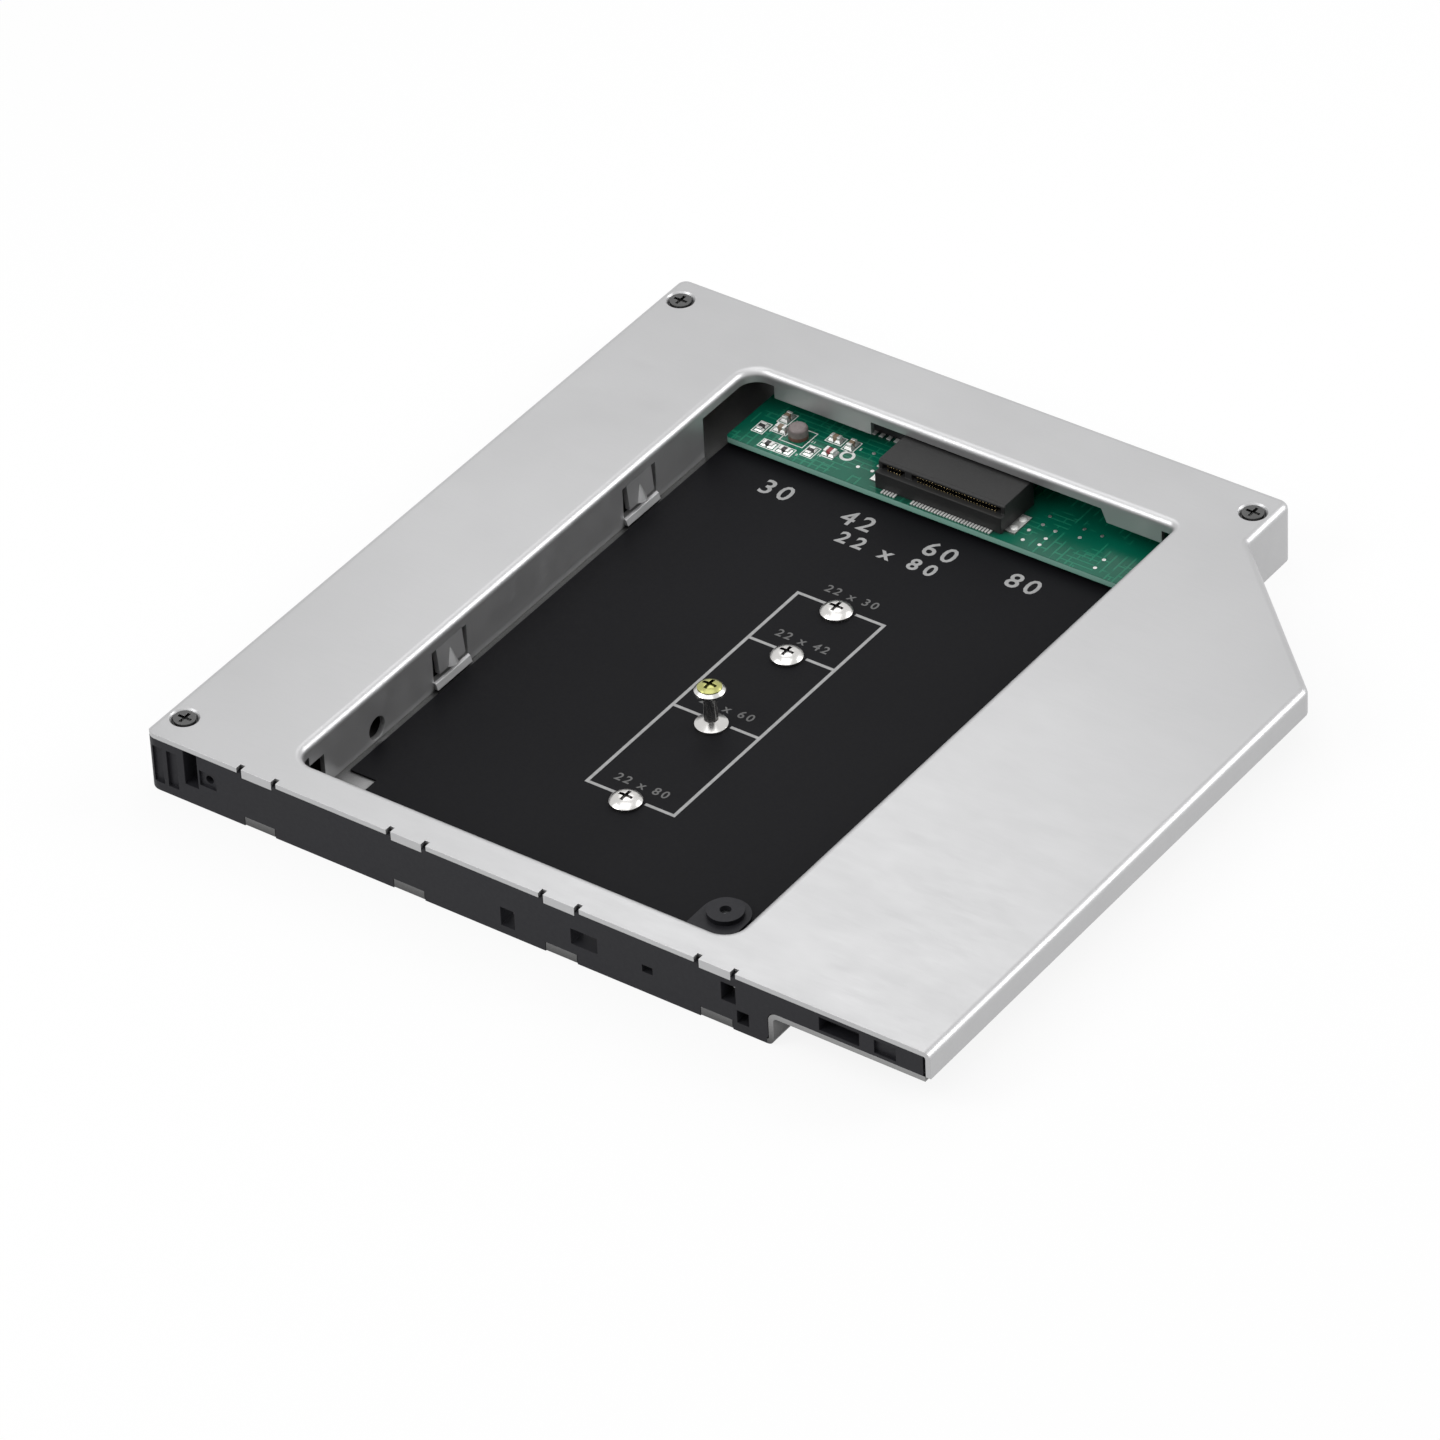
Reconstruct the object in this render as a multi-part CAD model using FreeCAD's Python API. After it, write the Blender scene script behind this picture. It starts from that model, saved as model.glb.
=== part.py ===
"""Slim drive-bay caddy for a small solid-state module.

A folded aluminium cover with a large opening closes over a folded tray. A
moulded rail fills the front, a board with the module's socket stands at the
rear, and four threaded places on the floor take modules of four lengths.
Places are measured from the left side, the front and the underside of the
case, and the origin is in the middle of the underside.
"""
import FreeCAD
import Part
import math
import os

Vector = FreeCAD.Vector

# Sheet metal of the cover and the tray
sheet = 0.8
bend_inside = 0.3
bend_outside = bend_inside + sheet
fit = 0.1
touch = 0.01

# Case
body_width = 103.3
wing_width = 24.7
depth = 126.1
height = 9.5
wing_lift = 4.62
wing_side = 91.0
step_side = 11.1
front_corner = 2.0
rear_corner = 1.6
wing_corner = 2.2
step_corner = 1.0
width = body_width + wing_width
cover_under = height - sheet

# Board and what stands on it, from the rear forwards
plug_width = 30.0
plug_length = 9.4
plug_wall = 0.8
plug_cover_gap = 0.4
plug_tongue = 1.2
plug_tongue_length = 7.2
plug_side = 8.6
plug_recess = 0.1
signal_width = 10.4
power_width = 9.1
contact_pitch = 1.27
signal_count = 7
power_count = 6
socket_plug_gap = 2.7
socket_length = 8.4
socket_width = 21.2
socket_board_edge = 1.1
film = 0.25
board_lift = 0.9
board_thickness = 1.0
board_side_gap = 1.3
board_edge_under_rim = 0.65
board_rear_gap = 0.7
board_corner = 0.6
plug_front = depth - plug_recess - plug_length
socket_front = plug_front - socket_plug_gap - socket_length
board_front = socket_front - socket_board_edge
board_rear = depth - sheet - board_rear_gap
film_top = sheet + film
board_under = film_top + board_lift
board_top = board_under + board_thickness

# Opening of the cover
channel_width = 21.1
right_border = 10.65
front_border = 6.05
board_shown = 8.45
bay_corner = 3.0
bay_corner_tight = 1.2
hem = 2.0
bay_left = channel_width
bay_right = body_width - right_border
bay_front = front_border
bay_rear = board_front + board_shown
board_left = bay_left + board_side_gap
board_right = bay_right - board_edge_under_rim

# Wall that is folded down at the opening's left side
wall_front_relief = 6.2
wall_rear_relief = 11.85
tongue_from_front = 28.45
tongue_from_rear = 15.6
tongue_width = 5.9
tongue_slit = 1.0
tongue_under_cover = 2.3
tongue_floor = 2.2
tongue_push = 0.4
tongue_rib_radius = 1.1
tongue_rib_height = 3.0
ramp_reach = 0.7
ramp_ledge = 0.35
ramp_ledge_fall = 0.15
ramp_drop = 1.1
wall_shoulder_drop = 1.5
wall_hole_place = 11.6
wall_hole_lift = 2.85
wall_hole_radius = 1.75
wall_front = bay_front + wall_front_relief
wall_rear = bay_rear - wall_rear_relief

# Two lips folded down behind the opening
rear_lip_drop = 4.1
rear_lip_left = 4.0
rear_lip_long = 16.6
rear_lip_right = 2.3
rear_lip_short = 10.0
rear_lip_slant = 0.9

# Holes in the rear wall for the laptop's bracket
bracket_first = 7.5
bracket_spacing = 9.0
bracket_hole_radius = 1.0

# Front lips of the cover and front tabs of the tray
tab_first = 19.2
tab_pitch = 25.0
tab_end_clearance = 4.5
tab_count = int((body_width - tab_first - tab_end_clearance) / tab_pitch) + 1
tab_width = 5.0
tab_notch = 0.8
tab_notch_depth = 1.0
lip_drop = 0.6
tray_tab_height = 1.5

# Front rail
rail_depth = 2.8
rail_lip = 1.2
rail_gap = 0.1
rail_end_gap = 0.4
hook_length = 6.0
hook_wall = 1.8
arm_width = 7.0
arm_from_right = 8.15
arm_reach = 16.0
arm_height = 1.95
arm_ring = 0.8
arm_ring_radius = 2.6

# Film on the floor
film_side_gap = 1.0
film_front = 8.0
film_right_gap = 5.8
film_rear_gap = 1.6
film_cut_width = 4.4
film_cut_end = 16.3

# Module
module_side = 36.8
module_insertion = 4.9
standoff_length = 60.0
screw_lengths = (30.0, 42.0, 80.0)
slot_height = 0.9
slot_width = 20.0
slot_depth = 6.2
slot_roof = 0.65
socket_rim_gap = 0.3
socket_lip = 1.0
socket_chamfer = 0.35
key_offset = 5.6
key_width = 1.2
pin_pitch = 0.5
pin_width = 0.22
pin_thick = 0.15
pin_rows = 37
solder_tab_width = 1.6
solder_tab_length = 4.4
solder_tab_thick = 0.2
module_x = bay_left + module_side
module_edge = socket_front + module_insertion
socket_left = module_x - socket_width / 2
socket_top = height - hem - socket_rim_gap
slot_top = socket_top - slot_roof
slot_floor = slot_top - slot_height

# Fasteners
screw_radius = 0.8
screw_clearance = 0.3
nut_radius = 1.6
head_radius = 2.35
head_height = 1.2
head_side = 0.45
dome_ring = 0.72
dome_ring_rise = 0.68
neck_radius = 1.0
flare_height = 0.7
shoulder_radius = 2.2
shoulder_height = 1.05
shoulder_slope = 0.25
shoulder_bevel = 0.4
standoff_screw_reach = 0.8
standoff_head_radius = 1.75
standoff_head_height = 0.6
standoff_head_side = 0.15
standoff_top = slot_top + shoulder_height
cross_length = 2.2
cross_width = 0.5
cross_depth = 0.55
corner_screw_side = 3.2
corner_screw_end = 5.1
corner_head_radius = 1.6
corner_head_height = 0.6
dimple_radius = 2.15
dimple_depth = 0.6
dimple_slope = 0.5
spacer_radius = 1.8
spigot_radius = 1.3
board_screw_radius = 1.7
board_screw_height = 1.0
board_screw_rear = 6.6
board_screw_left = 2.8
board_screw_right = 3.0
rail_head_radius = 1.6

# Small parts on the board
inductor_left = 8.9
inductor_front = 5.3
inductor_radius = 1.45
inductor_height = 1.9
led_left = 15.0
led_front = 4.4
led_length = 1.6
led_width = 1.1
led_height = 0.7
chip_rear = 3.4
chip_length = 6.5
chip_width = 3.5
chip_height = 1.6
buffer_length = 3.2
buffer_width = 1.6
buffer_height = 1.5
buffer_screw_gap = 0.5
lead_width = 0.7
lead_reach = 1.1
lead_thick = 0.25
lead_pitch = 2.3


def spot(x, y, z=0.0):
    """Point in the part's frame from its distances to the left, the front and the underside."""
    return Vector(x - width / 2, y - depth / 2, z)


def block(x0, x1, y0, y1, z0, z1):
    return Part.makeBox(x1 - x0, y1 - y0, z1 - z0, spot(x0, y0, z0))


def post(x, y, z0, z1, radius):
    return Part.makeCylinder(radius, z1 - z0, spot(x, y, z0))


def rounded_wire(corners):
    """Closed outline through (x, y, radius) corners, each turned by an arc of its radius."""
    arcs = []
    ends = []
    for index, (x, y, radius) in enumerate(corners):
        here = spot(x, y)
        before = corners[index - 1]
        after = corners[(index + 1) % len(corners)]
        back = (spot(before[0], before[1]) - here).normalize()
        ahead = (spot(after[0], after[1]) - here).normalize()
        half = back.getAngle(ahead) / 2
        inward = (back + ahead).normalize()
        reach = radius / math.tan(half)
        first = here + back * reach
        last = here + ahead * reach
        ends.append((first, last))
        if radius > 0:
            centre = here + inward * (radius / math.sin(half))
            arcs.append(Part.Arc(first, centre - inward * radius, last).toShape())
    lines = []
    for index, (first, last) in enumerate(ends):
        lines.append(Part.makeLine(ends[index - 1][1], first))
    return Part.Wire(Part.__sortEdges__(arcs + lines))


def prism(corners, z0, z1):
    face = Part.Face(rounded_wire(corners))
    face.translate(Vector(0, 0, z0))
    return face.extrude(Vector(0, 0, z1 - z0))


def rectangle(x0, x1, y0, y1, radius):
    return [(x0, y0, radius), (x1, y0, radius), (x1, y1, radius), (x0, y1, radius)]


def inset(corners, distance):
    """The same outline moved inwards, with its turns kept concentric."""
    moved = []
    for index, (x, y, radius) in enumerate(corners):
        before = corners[index - 1]
        after = corners[(index + 1) % len(corners)]
        first = Vector(x - before[0], y - before[1], 0).normalize()
        second = Vector(after[0] - x, after[1] - y, 0).normalize()
        normals = Vector(-first.y, first.x, 0) + Vector(-second.y, second.x, 0)
        share = distance * 2 / normals.dot(normals)
        turn = first.cross(second).z
        new_radius = 0.0
        if radius > 0:
            new_radius = max(radius - math.copysign(distance, turn), 0.0)
        moved.append((x + normals.x * share, y + normals.y * share, new_radius))
    return moved


def fuse(first, *others):
    return first.multiFuse(list(others)).removeSplitter()


def cut(shape, *tools):
    return shape.cut(list(tools))


def edges_on_loop(shape, z, inside, outside):
    """Edges at height z whose middle lies between two outlines, each given as a solid."""
    found = []
    for edge in shape.Edges:
        low = edge.BoundBox.ZMin
        high = edge.BoundBox.ZMax
        middle = edge.valueAt((edge.FirstParameter + edge.LastParameter) / 2)
        if abs(low - z) > touch or abs(high - z) > touch:
            continue
        if outside.isInside(middle, touch, True) and not inside.isInside(middle, touch, False):
            found.append(edge)
    return found


def upright(outline, y, thick):
    """Solid from y to y + thick with an (x, z) outline."""
    points = [spot(x, y, z) for x, z in outline]
    return Part.Face(Part.makePolygon(points + points[:1])).extrude(Vector(0, thick, 0))


def turned(x, y, z, profile):
    """Solid of revolution about a standing axis, from (radius, height) points."""
    points = [spot(x, y, z) + Vector(radius, 0, rise) for radius, rise in profile]
    face = Part.Face(Part.makePolygon(points + points[:1]))
    return face.revolve(spot(x, y, z), Vector(0, 0, 1), 360)


def pan_head(x, y, z, radius, tall, side=head_side):
    """Domed screw head with a cross recess."""
    base = spot(x, y, z)
    rim = base + Vector(radius, 0, side)
    top = base + Vector(0, 0, tall)
    shoulder = base + Vector(radius * dome_ring, 0, side + (tall - side) * dome_ring_rise)
    edges = [
        Part.makeLine(base, base + Vector(radius, 0, 0)),
        Part.makeLine(base + Vector(radius, 0, 0), rim),
        Part.Arc(rim, shoulder, top).toShape(),
        Part.makeLine(top, base),
    ]
    head = Part.Face(Part.Wire(edges)).revolve(base, Vector(0, 0, 1), 360)
    return cut(head, *cross_recess(x, y, z + tall))


def cross_recess(x, y, top):
    arm = cross_length / 2
    half = cross_width / 2
    return [
        block(x - arm, x + arm, y - half, y + half, top - cross_depth, top + 1),
        block(x - half, x + half, y - arm, y + arm, top - cross_depth, top + 1),
    ]


def case_outline():
    return [
        (0, 0, 0),
        (width, 0, 0),
        (width, wing_side, wing_corner),
        (body_width, depth - step_side, step_corner),
        (body_width, depth, rear_corner),
        (0, depth, rear_corner),
    ]


def inner_outline(distance, front):
    """Outline inside the cover's walls, open to the front."""
    moved = inset(case_outline(), distance)
    moved[0] = (moved[0][0], front, 0)
    moved[1] = (moved[1][0], front, 0)
    return moved


def front_corner_waste():
    """What the case's rounded front left corner leaves out of a square one."""
    square = block(-1, front_corner, -1, front_corner, -1, height + 1)
    return cut(square, post(front_corner, front_corner, -2, height + 2, front_corner))


def tab_centres():
    return [tab_first + tab_pitch * index for index in range(tab_count)]


def corner_screw_places():
    rear = depth - corner_screw_end
    return [
        (corner_screw_side, corner_screw_end),
        (corner_screw_side, rear),
        (body_width - corner_screw_side, rear),
    ]


def board_screw_places():
    y = depth - board_screw_rear
    return [(board_left + board_screw_left, y), (board_right - board_screw_right, y)]


def module_screw_places():
    return [(module_x, module_edge - length) for length in screw_lengths + (standoff_length,)]


def arm_end():
    return (bay_right - arm_from_right, arm_reach)


# Cover

def bay_outline(grow):
    """Opening grown on all sides, its rear right corner turned more tightly."""
    corners = rectangle(
        bay_left - grow, bay_right + grow, bay_front - grow, bay_rear + grow, bay_corner + grow
    )
    x, y, _ = corners[2]
    corners[2] = (x, y, bay_corner_tight + grow)
    return corners


def cover_shell():
    """Plate and outer walls, bent at the top, with the wing's walls cut short."""
    outer = prism(case_outline(), 0, height)
    everything = block(-1, width + 1, touch, depth + 1, 0, height + 1)
    middle = prism(inset(case_outline(), bend_outside * 2), 0, height)
    outer = outer.makeFillet(bend_outside, edges_on_loop(outer, height, middle, everything))
    hollow = prism(inner_outline(sheet, -1), -1, cover_under)
    core = prism(inner_outline(sheet * 3, -2), 0, height)
    hollow = hollow.makeFillet(bend_inside, edges_on_loop(hollow, cover_under, core, everything))
    wing_start = body_width - sheet - touch
    wing_under = block(wing_start, width + 1, -1, depth - step_side, -1, wing_lift + sheet)
    front_end = block(-1, sheet + bend_inside, -1, front_corner, -1, cover_under)
    return cut(outer, hollow, wing_under, front_end)


def rolled_rim(shell):
    """Opening with its rim rolled down all round."""
    inside = prism(bay_outline(0), -1, height + 1)
    ring = cut(prism(bay_outline(sheet), height - hem, height - touch), inside)
    shell = fuse(cut(shell, inside), ring)
    reach = prism(bay_outline(touch * 2), 0, height + 1)
    core = prism(bay_outline(-bay_corner_tight / 2), 0, height + 1)
    return shell.makeFillet(bend_outside, edges_on_loop(shell, height, core, reach))


def bay_wall():
    """Full-height wall with two spring tongues and a round hole, and a shallow shoulder in front."""
    x0 = bay_left - sheet
    rim_under = height - hem
    wall = block(x0, bay_left, wall_front, wall_rear, sheet, rim_under)
    shoulder_start = bay_front + bay_corner
    shoulder = block(x0, bay_left, shoulder_start, wall_front, rim_under - wall_shoulder_drop, rim_under)
    wall = fuse(wall, shoulder)
    hole_start = spot(x0 - sheet, wall_front + wall_hole_place, wall_hole_lift)
    wall = cut(wall, Part.makeCylinder(wall_hole_radius, sheet * 4, hole_start, Vector(1, 0, 0)))
    for centre in (wall_front + tongue_from_front, wall_rear - tongue_from_rear):
        wall = with_tongue(wall, centre)
    return wall


def with_tongue(wall, centre):
    """Cuts a U-shaped slit round a ribbed tongue and presses a ramp out under it."""
    x0 = bay_left - sheet
    half = tongue_width / 2
    reach = half + tongue_slit
    top = height - tongue_under_cover
    tip = tongue_floor + tongue_slit
    foot = tongue_floor - ramp_drop
    window = block(x0 - 1, bay_left + 1, centre - reach, centre + reach, tongue_floor, top)
    leaf = [(x0, top), (bay_left, top), (bay_left + tongue_push, tip), (x0 + tongue_push, tip)]
    ledge = (bay_left + ramp_ledge, tongue_floor - ramp_ledge_fall)
    wedge = [(x0, foot), (bay_left + ramp_reach, foot), ledge, (bay_left, tongue_floor), (x0, tongue_floor)]
    rib = Part.makeCone(tongue_rib_radius, touch, tongue_rib_height, spot(bay_left, centre, tip))
    return fuse(
        cut(wall, window),
        upright(leaf, centre - half, tongue_width),
        rib,
        upright(wedge, centre - reach, reach * 2),
    )


def rear_lips():
    """The left one is square, and the right one starts with a slant."""
    high = height - hem
    low = height - rear_lip_drop
    first = bay_left + rear_lip_left
    last = bay_right - rear_lip_right
    start = last - rear_lip_short
    slanted = [(start, high), (start + rear_lip_slant, low), (last, low), (last, high)]
    return [
        block(first, first + rear_lip_long, bay_rear, bay_rear + sheet, low, high),
        upright(slanted, bay_rear, sheet),
    ]


def dimpled(cover, x, y):
    """Countersunk dimple of even thickness with the screw's hole."""
    lower = dimple_radius - dimple_slope
    under = spot(x, y, cover_under - dimple_depth)
    boss = Part.makeCone(lower + bend_inside, dimple_radius + bend_inside, dimple_depth, under)
    dish = Part.makeCone(lower, dimple_radius, dimple_depth, spot(x, y, height - dimple_depth))
    hole = post(x, y, 0, height, screw_radius + screw_clearance)
    return cut(fuse(cover, boss), dish, hole)


def front_lips(cover):
    for centre in tab_centres():
        half = tab_width / 2
        lip = block(centre - half, centre + half, 0, sheet, cover_under - lip_drop, cover_under)
        cover = fuse(cover, lip)
        for x in (centre - half - tab_notch, centre + half):
            cover = cut(cover, block(x, x + tab_notch, -1, tab_notch_depth, cover_under - 1, height + 1))
    return cover


def plug_window():
    x0 = board_left + plug_side - fit
    x1 = board_left + plug_side + plug_width + fit
    return block(x0, x1, depth - sheet - 1, depth + 1, board_under, cover_under - plug_cover_gap + fit)


def bracket_holes():
    forwards = Vector(0, -1, 0)
    return [
        Part.makeCylinder(bracket_hole_radius, sheet * 4, spot(x, depth + sheet, height / 2), forwards)
        for x in (bracket_first, bracket_first + bracket_spacing)
    ]


def top_cover():
    cover = rolled_rim(cover_shell())
    cover = fuse(cover, bay_wall(), *rear_lips())
    cover = front_lips(cover)
    for x, y in corner_screw_places():
        cover = dimpled(cover, x, y)
    return cut(cover, front_corner_waste(), plug_window(), *bracket_holes())


# Tray

def tray_section():
    """Floor, side wall and wing floor seen from the front."""
    wall = body_width - sheet
    low = bend_outside
    wing_top = wing_lift + sheet
    wing_bend = bend_inside * 2
    end = width - sheet - fit
    start = sheet + fit
    knee = body_width + wing_bend

    def at(x, z):
        return spot(x, 0, z)

    def quarter(x, z, radius, angle):
        turn = math.radians(angle)
        return at(x + radius * math.cos(turn), z + radius * math.sin(turn))

    low_x = body_width - low
    knee_z = wing_lift - wing_bend
    knee_out = wing_bend + sheet
    knee_middle = quarter(knee, knee_z, wing_bend, 135)
    edges = [
        Part.makeLine(at(start, 0), at(low_x, 0)),
        Part.Arc(at(low_x, 0), quarter(low_x, low, low, -45), at(body_width, low)).toShape(),
        Part.makeLine(at(body_width, low), at(body_width, knee_z)),
        Part.Arc(at(body_width, knee_z), knee_middle, at(knee, wing_lift)).toShape(),
        Part.makeLine(at(knee, wing_lift), at(end, wing_lift)),
        Part.makeLine(at(end, wing_lift), at(end, wing_top)),
        Part.makeLine(at(end, wing_top), at(knee, wing_top)),
        Part.Arc(at(knee, wing_top), quarter(knee, knee_z, knee_out, 135), at(wall, knee_z)).toShape(),
        Part.makeLine(at(wall, knee_z), at(wall, low)),
        Part.Arc(at(wall, low), quarter(low_x, low, bend_inside, -45), at(low_x, sheet)).toShape(),
        Part.makeLine(at(low_x, sheet), at(start, sheet)),
        Part.makeLine(at(start, sheet), at(start, 0)),
    ]
    return Part.Face(Part.Wire(edges))


def tray_tab(centre):
    """Floor strip that reaches the front and turns up before the rail."""
    half = tab_width / 2
    reach = rail_lip + rail_gap
    strip = block(centre - half, centre + half, 0, reach, 0, sheet)
    upright = block(centre - half, centre + half, 0, sheet, 0, tray_tab_height)
    tab = fuse(strip, upright)
    turn = []
    for edge in tab.Edges:
        box = edge.BoundBox
        if box.XLength > tab_width / 2 and box.ZMax < touch and box.YMax < touch - depth / 2:
            turn.append(edge)
    return tab.makeFillet(bend_inside, turn)


def bottom_tray():
    tray = tray_section().extrude(Vector(0, depth, 0))
    tray = tray.common(prism(inner_outline(sheet + fit, 0), -1, height))
    floor_end = body_width - bend_outside
    tray = cut(tray, block(-1, floor_end, -1, rail_lip + rail_gap, -1, sheet + touch))
    tray = fuse(tray, *[tray_tab(centre) for centre in tab_centres()])
    for x, y in corner_screw_places() + board_screw_places():
        tray = cut(tray, post(x, y, -1, sheet + 1, spigot_radius))
    for x, y in module_screw_places():
        tray = cut(tray, post(x, y, -1, sheet + 1, nut_radius))
    x, y = arm_end()
    sunk = Part.makeCone(rail_head_radius, screw_radius, sheet, spot(x, y, 0))
    return cut(tray, sunk)


# Front rail

# Clip windows and recesses: distance from the left, width, lift, height and depth of each
rail_windows = (
    (6.7, 2.3, 3.0, 6.5, 2.8),
    (9.3, 2.8, 3.9, 2.5, 0.35),
    (59.4, 2.3, 1.3, 3.1, 2.8),
    (70.9, 4.3, 3.1, 2.6, 2.8),
    (82.4, 1.7, 3.4, 1.2, 2.8),
    (body_width - 8.2, 2.3, 4.3, 3.0, 2.8),
    (body_width - 5.8, 1.9, 1.4, 2.1, 2.8),
)
rail_pin_hole_x = 10.8
rail_pin_hole_z = 5.15
rail_pin_hole_radius = 0.65
end_recess_left = 1.3
end_recess_width = 4.2
end_recess_lift = 1.4
end_recess_height = 6.0
end_recess_depth = 0.5
end_rib_width = 0.7
# The wing's recesses: distance from the wing's start, width and depth of each
wing_windows = ((7.3, 6.3, 2.0), (15.9, 3.4, 0.5))
wing_window_margin = 0.55


def rail_block(x0, x1, z0, z1, deep):
    return block(x0, x1, -1, deep, z0, z1)


def front_rail():
    end = body_width - sheet - rail_gap
    wing_end = width - sheet - rail_end_gap
    wing_bottom = wing_lift + sheet
    knee_radius = bend_inside * 2 + sheet
    rail = fuse(
        block(0, wing_end, 0, front_corner - fit, 0, cover_under),
        block(sheet + fit, wing_end, 0, rail_depth, 0, cover_under),
    )
    notch = block(end, width, -1, depth, -1, wing_bottom)
    corner = block(end, end + knee_radius, -2, depth, wing_bottom - knee_radius, wing_bottom + 1)
    bend = knee_radius + rail_gap
    turn = Part.makeCylinder(bend, depth, spot(end + bend, -2, wing_bottom - knee_radius), Vector(0, 1, 0))
    filled = cut(corner.common(notch), turn)
    rail = cut(rail, cut(notch, filled), block(-1, width, rail_lip, depth, -1, sheet))
    x, y = corner_screw_places()[0]
    rail = cut(
        rail,
        front_corner_waste(),
        post(x, y, cover_under - dimple_depth - touch, height, dimple_radius + bend_inside + fit),
        block(-1, sheet + bend_inside, front_corner - fit, depth, cover_under - bend_inside, height),
        block(body_width - bend_outside, width, -1, depth, -1, bend_outside),
    )
    for centre in tab_centres():
        half = tab_width / 2 + rail_gap
        rail = cut(
            rail,
            rail_block(centre - half, centre + half, cover_under - lip_drop, height, sheet),
            rail_block(centre - half, centre + half, -1, tray_tab_height, sheet),
            rail_block(centre - half, centre + half, -1, sheet, rail_lip + 1),
        )
    for x, wide, lift, tall, deep in rail_windows:
        rail = cut(rail, rail_block(x, x + wide, lift, lift + tall, deep + touch))
    pin_start = spot(rail_pin_hole_x, -1, rail_pin_hole_z)
    pin = Part.makeCylinder(rail_pin_hole_radius, rail_depth + 2, pin_start, Vector(0, 1, 0))
    rail = cut(rail, pin)
    recess = rail_block(
        end_recess_left, end_recess_left + end_recess_width, end_recess_lift,
        end_recess_lift + end_recess_height, end_recess_depth,
    )
    middle = end_recess_left + end_recess_width / 2
    rib = block(middle - end_rib_width / 2, middle + end_rib_width / 2, 0, depth, 0, height)
    rail = cut(rail, cut(recess, rib))
    for start, wide, deep in wing_windows:
        x = body_width + start
        low = wing_bottom + wing_window_margin
        rail = cut(rail, rail_block(x, x + wide, low, cover_under - wing_window_margin, deep))
    return cut(fuse(rail, rail_hook(), rail_arm()), rail_screw_hole())


def rail_hook():
    """Ear that grips the post under the front left corner screw."""
    x, y = corner_screw_places()[0]
    inner = sheet + fit
    top = cover_under - dimple_depth
    rear = y + spacer_radius + hook_wall
    ear = block(inner, inner + hook_length, rail_depth - touch, rear, sheet, top)
    eye = post(x, y, 0, height, spacer_radius + fit / 2)
    mouth = block(0, x, y - spacer_radius - fit / 2, y + spacer_radius + fit / 2, 0, height)
    return cut(ear, eye, mouth)


def rail_arm():
    """Arm along the floor with a raised ring, held from below by a screw."""
    x, y = arm_end()
    half = arm_width / 2
    arm = block(x - half, x + half, rail_depth - touch, y, film_top, film_top + arm_height)
    pad = post(x, y, film_top, film_top + arm_height, half)
    ring = post(x, y, film_top, film_top + arm_height + arm_ring, arm_ring_radius)
    return fuse(arm, pad, ring)


def rail_screw_hole():
    x, y = arm_end()
    return post(x, y, 0, height, screw_radius)


# Film and board

def insulating_film():
    x0 = bay_left + film_side_gap
    x1 = body_width - film_right_gap
    sheet_of_film = block(x0, x1, film_front, depth - film_rear_gap, sheet, film_top)
    sheet_of_film = cut(sheet_of_film, block(x0 - 1, x0 + film_cut_width, 0, film_cut_end, 0, height))
    for x, y in module_screw_places():
        sheet_of_film = cut(sheet_of_film, post(x, y, 0, height, nut_radius))
    for x, y in board_screw_places():
        sheet_of_film = cut(sheet_of_film, post(x, y, 0, height, spacer_radius + fit))
    x, y = arm_end()
    return cut(sheet_of_film, post(x, y, 0, height, screw_radius))


def circuit_board():
    outline = rectangle(board_left, board_right, board_front, board_rear, board_corner)
    board = prism(outline, board_under, board_top)
    for x, y in board_screw_places():
        board = cut(board, post(x, y, 0, height, screw_radius + screw_clearance))
    return board


def module_socket_housing():
    rear = socket_front + socket_length
    right = socket_left + socket_width
    upper_front = socket_front + socket_lip
    body = block(socket_left, right, upper_front, rear, board_top, socket_top)
    edge = [
        item for item in body.Edges
        if item.BoundBox.XLength > socket_width / 2
        and abs(item.BoundBox.YMax - spot(0, upper_front).y) < touch
        and abs(item.BoundBox.ZMin - socket_top) < touch
    ]
    body = body.makeChamfer(socket_chamfer, edge)
    lip = block(socket_left, right, socket_front, upper_front, board_top, slot_floor)
    body = fuse(body, lip)
    slot = block(
        module_x - slot_width / 2, module_x + slot_width / 2, socket_front - 1, socket_front + slot_depth,
        slot_floor, slot_top,
    )
    key = block(
        module_x - key_offset - key_width / 2, module_x - key_offset + key_width / 2, upper_front,
        socket_front + slot_depth, slot_floor, slot_top,
    )
    return cut(body, cut(slot, key))


def pin_offsets():
    """Places of one row of contacts along the slot, without those at the key."""
    first = -(pin_rows - 1) / 2 * pin_pitch
    offsets = [first + pin_pitch * index for index in range(pin_rows)]
    return [offset for offset in offsets if abs(offset + key_offset) > key_width / 2 + pin_pitch]


def module_socket_contacts():
    start = socket_front + socket_lip
    stop = socket_front + slot_depth
    pins = []
    for offset in pin_offsets():
        x = module_x + offset
        x0 = x - pin_width / 2
        x1 = x + pin_width / 2
        pins.append(block(x0, x1, start, stop, slot_floor, slot_floor + pin_thick))
        pins.append(block(x0, x1, start, stop, slot_top - pin_thick, slot_top))
    return Part.makeCompound(pins)


def socket_solder_tabs():
    y0 = socket_front + socket_lip
    top = board_top + solder_tab_thick
    right = socket_left + socket_width
    return Part.makeCompound([
        block(socket_left - solder_tab_width, socket_left, y0, y0 + solder_tab_length, board_top, top),
        block(right, right + solder_tab_width, y0, y0 + solder_tab_length, board_top, top),
    ])


# Drive plug at the rear

def plug_sizes():
    x0 = board_left + plug_side
    top = cover_under - plug_cover_gap
    middle = (board_top + top) / 2
    return x0, x0 + plug_width, top, middle


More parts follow.
